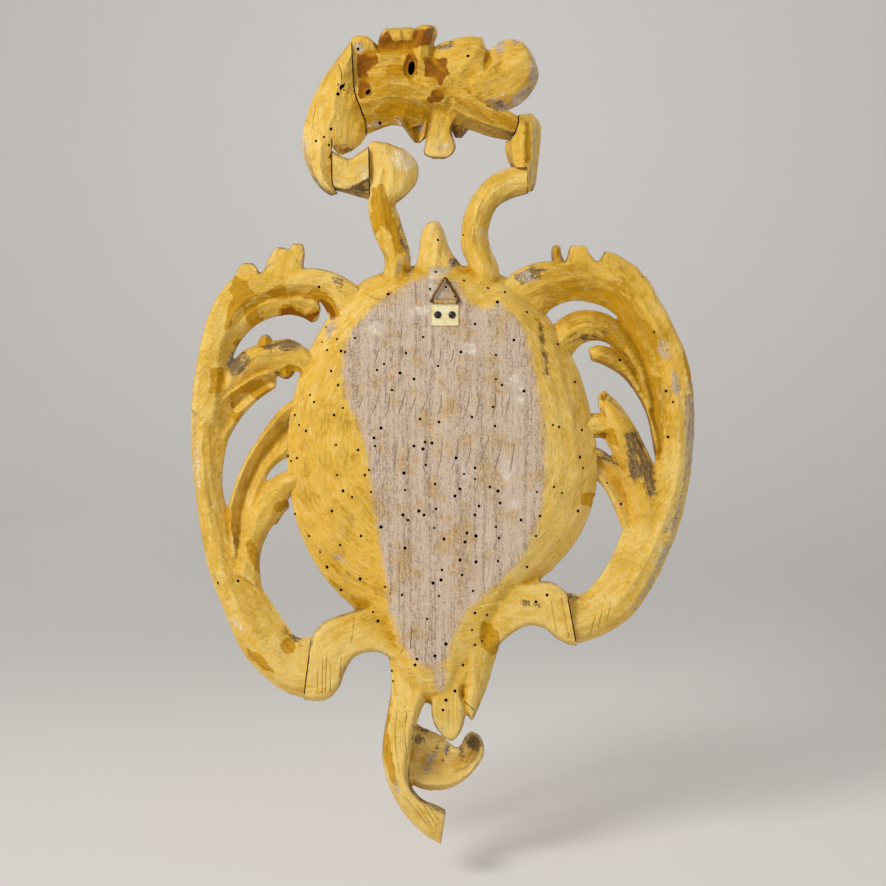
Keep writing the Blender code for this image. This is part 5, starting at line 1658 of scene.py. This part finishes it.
def pierce(obj):
    """Cuts the cracks, deep hollows and beetle holes that meet this piece."""
    tree = tree_of(obj)
    chooser = random.Random(7)
    holes = []
    for u, v in WORM_HOLES:
        radius = chooser.uniform(*WORM_HOLE_RADII)
        hit, normal = seen_from_behind(tree, u, v)
        if hit is None:
            continue
        inward = (WORM_HOLE_LEAN - normal).normalized()
        start, end = hit - inward * WORM_HOLE_START, hit + inward * WORM_HOLE_DEPTH
        holes.append(rod(start, end, radius))
    cut(obj, holes, DARK)
    pits = []
    for (u, v, across, down, lean), deep in DARK_PITS:
        hit, _ = seen_from_behind(tree, u, v)
        if hit is None:
            continue
        turn = math.radians(lean)
        outline = [
            (
                u + across * math.cos(t) * math.cos(turn) - down * math.sin(t) * math.sin(turn),
                v + across * math.cos(t) * math.sin(turn) + down * math.sin(t) * math.cos(turn),
            )
            for t in turns(PIT_SIDES)
        ]
        start = FLAT_BACK_Y - hit.y
        pits.append(prism(outline, (start - PIT_START, start + deep)))
    cut(obj, pits, DARK)
    for lines, width, depth, look in (
        (CRACKS, CRACK_WIDTH, CRACK_DEPTH, DARK),
        (SAW_MARKS, SAW_MARK_WIDTH, SAW_MARK_DEPTH, SCRATCH),
    ):
        marks = [engrave(tree, line, width, depth) for line in lines]
        cut(obj, [mark for mark in marks if mark], look)


def shallow_strokes():
    """Rows of short strokes that all lean one way, apart from each other and no letters."""
    chooser = random.Random(21)
    lines = []
    for top, bottom, left, right, slots in STROKE_ROWS:
        pitch = (right - left) / slots
        for slot in range(slots):
            middle = np.array([
                left + (slot + chooser.uniform(0.35, 0.65)) * pitch,
                (top + bottom) / 2 + chooser.uniform(-3, 3),
            ])
            length = chooser.uniform(0.35, 0.8) * (bottom - top)
            lean = -chooser.uniform(0.12, 0.34)
            bow = chooser.uniform(0.01, 0.07) * length
            along = np.array([math.sin(lean), math.cos(lean)])
            aside = np.array([along[1], -along[0]])
            lines.append((
                middle - along * length / 2,
                middle + aside * bow,
                middle + along * length / 2,
            ))
    return lines


def apart(lines):
    """Shares lines out among batches in which none comes near another."""
    batches = []
    for line in lines:
        low, high = np.min(line, axis=0) - STROKE_APART, np.max(line, axis=0) + STROKE_APART
        for batch in batches:
            if all((low > b_high).any() or (high < b_low).any() for _, b_low, b_high in batch):
                batch.append((line, low, high))
                break
        else:
            batches.append([(line, low, high)])
    return [[line for line, _, _ in batch] for batch in batches]


def lathe(name, profile, middle, sides=40):
    """A round piece from pairs of radius and Y, turned about a line along Y."""
    across, up = np.cos(turns(sides)), np.sin(turns(sides))
    return object_of(name, [skin([
        np.stack([middle[0] + r * across, np.full(sides, y), middle[1] + r * up], axis=1)
        for r, y in profile
    ])])


def box_shell(low, high):
    (x0, y0, z0), (x1, y1, z1) = low, high
    return skin([[(x0, y0, z), (x1, y0, z), (x1, y1, z), (x0, y1, z)] for z in (z0, z1)])


def bore(place_xz, start_y, end_y, sides=10):
    """A closed skin that cuts a screw's bore."""
    x, z = place_xz
    return rod(Vector((x, start_y, z)), Vector((x, end_y, z)), SCREW_BORE, sides)


def hanger_plate():
    """The brass sheet, rolled into a knuckle along its upper edge and bored for two screws."""
    front = PLATE_BACK_Y + SHEET
    foot = -HINGE_DROP - PLATE_LENGTH
    shoulder = -HINGE_DROP - KNUCKLE_OUTSIDE - KNUCKLE_END_GAP
    wrap = -HINGE_DROP - KNUCKLE_INSIDE / 2
    half, half_width = KNUCKLE_HALF, PLATE_WIDTH / 2
    hinge, end = Vector((0, 0, -HINGE_DROP)), Vector((half, 0, 0))
    obj = object_of("hanger_sheet", [
        box_shell((-half_width, PLATE_BACK_Y, foot), (half_width, front, shoulder)),
        box_shell((-half, PLATE_BACK_Y, shoulder - SHEET), (half, front, wrap)),
        rod(hinge - end, hinge + end, KNUCKLE_OUTSIDE, KNUCKLE_SIDES),
    ])
    fuse(obj, SHEET_VOXEL)
    points = read_points(obj.data)
    dents = value_noise(points, DENT_SIZE, seed=31) * SHEET_DENT
    write_points(obj.data, points + read_normals(obj.data) * dents[:, None])
    keep_inside(obj.data)
    way = Vector((PLATE_WIDTH, 0, 0))
    cut(obj, [rod(hinge - way, hinge + way, KNUCKLE_INSIDE, KNUCKLE_SIDES)])
    cut(obj, [
        bore(place_xz, PLATE_BACK_Y - SHEET, front + SHEET, PLATE_BORE_SIDES)
        for place_xz in SCREW_PLACES
    ])
    cut(obj, [box_shell(
        (-PLATE_WIDTH, front - FOLD_LINE, shoulder - FOLD_LINE),
        (PLATE_WIDTH, FOLD_REACH, shoulder + FOLD_LINE),
    )])
    fit_out(obj, "hanger_plate", "plaque", BRASS_WITH_PAINTED_REFLECTION)
    obj.data.materials.append(TARNISH)
    for face in obj.data.polygons:
        if face.center.z > shoulder + FOLD_LINE:
            face.material_index = 1


def hanger_ring():
    """The wire triangle, bent round at its corners. Its ends meet inside the knuckle."""
    corners = np.array([
        (RING_END_GAP, 0), (RING_WIDTH / 2, 0), (0, RING_HEIGHT + APEX_RISE), (-RING_WIDTH / 2, 0),
        (-RING_END_GAP, 0),
    ])
    path = [corners[0]]
    for i, bend in ((1, RING_BEND), (2, APEX_BEND), (3, RING_BEND)):
        before, after = corners[i - 1] - corners[i], corners[i + 1] - corners[i]
        start = corners[i] + before / np.hypot(*before) * bend
        end = corners[i] + after / np.hypot(*after) * bend
        for t in np.linspace(0, 1, BEND_POINTS):
            path.append((1 - t) ** 2 * start + 2 * t * (1 - t) * corners[i] + t**2 * end)
    path = np.array([*path, corners[-1]])
    rings = []
    for (x, z), run in zip(path, np.gradient(path, axis=0)):
        aside = np.array([run[1], -run[0]]) / np.hypot(*run)
        ring = []
        for angle in turns(WIRE_SIDES):
            across, up = WIRE_RADIUS * math.cos(angle), WIRE_RADIUS * math.sin(angle)
            ring.append((x + aside[0] * across, up, z - HINGE_DROP + aside[1] * across))
        rings.append(ring)
    fit_out(object_of("hanger_wire", [skin(rings)]), "hanger_ring", "ring", WIRE)


def screw(name, place_xz, slot_angle):
    """A domed wood screw with a slot across its head."""
    profile = [
        (SCREW_TIP_RADIUS, SCREW_TIP_Y), (SCREW_SHANK_RADIUS, SCREW_TIP_Y + SCREW_POINT_LENGTH),
        (SCREW_SHANK_RADIUS, SCREW_SEAT_Y),
    ]
    for lift in np.linspace(0, 1, SCREW_HEAD_STEPS):
        radius = SCREW_HEAD_RADIUS * math.sqrt(1 - SCREW_HEAD_CROWN * lift**SCREW_HEAD_POWER)
        profile.append((radius, SCREW_SEAT_Y + lift * SCREW_HEAD_HEIGHT))
    obj = lathe(f"{name}_head", profile, place_xz)
    top = SCREW_SEAT_Y + SCREW_HEAD_HEIGHT
    run = np.array([math.cos(slot_angle), math.sin(slot_angle)]) * 2 * SCREW_HEAD_RADIUS
    aside = np.array([-math.sin(slot_angle), math.cos(slot_angle)]) * SLOT_WIDTH / 2
    ends = ((-1, -1), (1, -1), (1, 1), (-1, 1))
    corners = [np.array(place_xz) + a * run + b * aside for a, b in ends]
    heights = (top - SLOT_DEPTH, top + SLOT_DEPTH)
    cut(obj, [skin([[(x, y, z) for x, z in corners] for y in heights])])
    fit_out(obj, name, "plaque", STEEL)


def fit_out(obj, node, body, look):
    """Makes a piece stand for a node of the frame."""
    obj.data.materials.clear()
    obj.data.materials.append(look)
    obj.data.shade_smooth()
    obj.data.set_sharp_from_angle(angle=FITTING_CREASE)
    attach(obj, body)
    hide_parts(node)


WOOD = wood_look()
# Painted shade: near black on the walls of beetle holes, pits, cracks and joint grooves.
DARK = plain_look("hole shadow", HOLE_BROWN, colour("0C0704"), 0.9)
PENCIL = plain_look("shallow stroke", PENCIL_GREY, colour("8A7C70"), 0.7)
SCRATCH = plain_look("saw mark", colour("96702C"), colour("AA843A"), 0.8)
# The plate's very pale base colour is partly painted reflection of bright surroundings.
BRASS_WITH_PAINTED_REFLECTION = plain_look("bright brass", colour("FBF3CC"), colour("E8D083"), 0.32, 0.4, 110.0)
TARNISH = plain_look("tarnished brass", colour("DCC088"), colour("A8803C"), 0.32, 0.5)
WIRE = plain_look("darkened wire", colour("7A5628"), colour("523818"), 0.36, 0.85)
STEEL = plain_look("dark steel", colour("4A494A"), colour("262526"), 0.38, 0.9, 900.0)

carve("shield_panel", SHIELD_LIMBS, SHIELD_VOXEL, ([
    curtain(RIGHT_WING_JOINT, -1), curtain(LEFT_WING_JOINT, 1),
    curtain(KNOB_JOINT, -1, SHORT_REACH), curtain(NECK_JOINT, 1),
    *(bore(place_xz, BORE_START_Y, SCREW_BORE_TIP_Y) for place_xz in SCREW_PLACES),
],), (RIGHT_WING_JOINT, LEFT_WING_JOINT, KNOB_JOINT, NECK_JOINT), body=True)
carve("right_wing", RIGHT_WING_LIMBS, WING_VOXEL, (
    [curtain(RIGHT_WING_JOINT, 1)], [skin(shield_rings(-SHIELD_OVERLAP))],
), (RIGHT_WING_JOINT,))
carve("left_wing", LEFT_WING_LIMBS, WING_VOXEL, (
    [curtain(LEFT_WING_JOINT, -1)], [skin(shield_rings(-SHIELD_OVERLAP))],
), (LEFT_WING_JOINT,))
carve("crest", CREST_LIMBS, CREST_VOXEL, (
    [curtain(LIMB_JOINT, -1, SHORT_REACH)], [curtain(ARM_JOINT, 1, SHORT_REACH)],
), (LIMB_JOINT, ARM_JOINT))
carve("crest_limb", CREST_LIMB_LIMBS, CREST_VOXEL, (
    [curtain(LIMB_JOINT, 1)], [prism(LIMB_FOOT)], [prism(BLOCK_BAY)],
    [prism(LIMB_COVE, (CUTTER_DEPTHS[0], LIMB_COVE_DEPTH))],
), (LIMB_JOINT, BLOCK_JOINT))
carve("crest_block", CREST_BLOCK_LIMBS, SMALL_VOXEL, (
    [curtain(BLOCK_JOINT, -1)], [curtain(KNOB_JOINT, 1)],
), (BLOCK_JOINT, KNOB_JOINT))
carve("crest_link", CREST_LINK_LIMBS, SMALL_VOXEL, (
    [curtain(ARM_JOINT, -1)], [prism(LINK_BAY)],
), (ARM_JOINT,))

hanger_plate()
hanger_ring()
screw("left_screw", SCREW_PLACES[0], math.radians(-35))
screw("right_screw", SCREW_PLACES[1], math.radians(20))

# The camera stands where the photograph was taken from, straight behind the template's middle.
camera = stand("camera", bpy.data.cameras.new("camera"))
camera.location = (HOOK_ACROSS, EYE_DISTANCE + FLAT_BACK_Y, HOOK_DOWN)
camera.rotation_euler = (math.pi / 2, 0, math.pi)
camera.data.angle = 2 * math.atan(TEMPLATE_MIDDLE[0] * SQUARE / EYE_DISTANCE)
camera.data.clip_start = 0.01
bpy.context.scene.camera = camera

# The floor lies flat under the plaque and sweeps up on all sides.
FLOOR_DROP = 0.03
INNER_RADII = (0.3, 0.6)
SWEEP_RADIUS = 3.0
SWEEP_RISE = 2.2
SWEEP_STEPS = 16
SWEEP_SIDES = 96
floor_z = CAD_BOX[0][2] - FLOOR_DROP
flat_radius = SWEEP_RADIUS - SWEEP_RISE
profile = [(radius, 0.0) for radius in (*INNER_RADII, flat_radius)]
for step in range(1, SWEEP_STEPS + 1):
    angle = step / SWEEP_STEPS * math.pi / 2
    profile.append((
        flat_radius + SWEEP_RISE * math.sin(angle), SWEEP_RISE * (1 - math.cos(angle)),
    ))
points = [
    (radius * math.cos(angle), radius * math.sin(angle), floor_z + height)
    for radius, height in profile for angle in turns(SWEEP_SIDES)
]
faces = [(a, d, c, b) for a, b, c, d in bands(len(profile) - 1, SWEEP_SIDES)]
mesh = bpy.data.meshes.new("floor")
mesh.from_pydata(points, [], [*faces, tuple(range(SWEEP_SIDES))])
mesh.shade_smooth()
floor = stand("floor", mesh)
pale = Nodes("pale floor")
pale.surface({"Base Color": colour("D8D6D4"), "Roughness": 0.9})
mesh.materials.append(pale.material)


def soft_light(name, where, size, watts, tint=(1, 1, 1), target=(0.0, 0.0, -0.12), spread=180):
    """A square area light that looks at the middle of the plaque, or at another target."""
    light = bpy.data.lights.new(name, "AREA")
    light.shape = "SQUARE"
    light.size = size
    light.energy = watts
    light.color = tint
    light.spread = math.radians(spread)
    obj = stand(name, light)
    obj.location = where
    obj.rotation_euler = (Vector(target) - Vector(where)).to_track_quat("-Z", "Y").to_euler()
    obj.visible_camera = False


soft_light("key", (1.45, 1.5, 1.2), 0.72, 39.0, (1.0, 0.97, 0.92))
soft_light("fill", (-0.8, 1.2, -0.6), 1.2, 8.5)
soft_light("front key", (-1.0, -1.2, 0.8), 0.8, 3.4, (1.0, 0.97, 0.93), spread=80)
soft_light("front fill", (1.1, -1.1, 0.0), 1.2, 1.7, spread=100)
for side, name in ((-1, "wall behind"), (1, "wall in front")):
    soft_light(name, (0.0, side * 0.3, 1.9), 1.0, 11.0, target=(0.0, side * 3.0, 1.0), spread=120)

world = bpy.data.worlds.new("studio")
world.use_nodes = True
world.node_tree.nodes["Background"].inputs["Color"].default_value = colour("DCDAD8")
world.node_tree.nodes["Background"].inputs["Strength"].default_value = 0.4
bpy.context.scene.world = world
bpy.context.scene.view_settings.view_transform = "Standard"
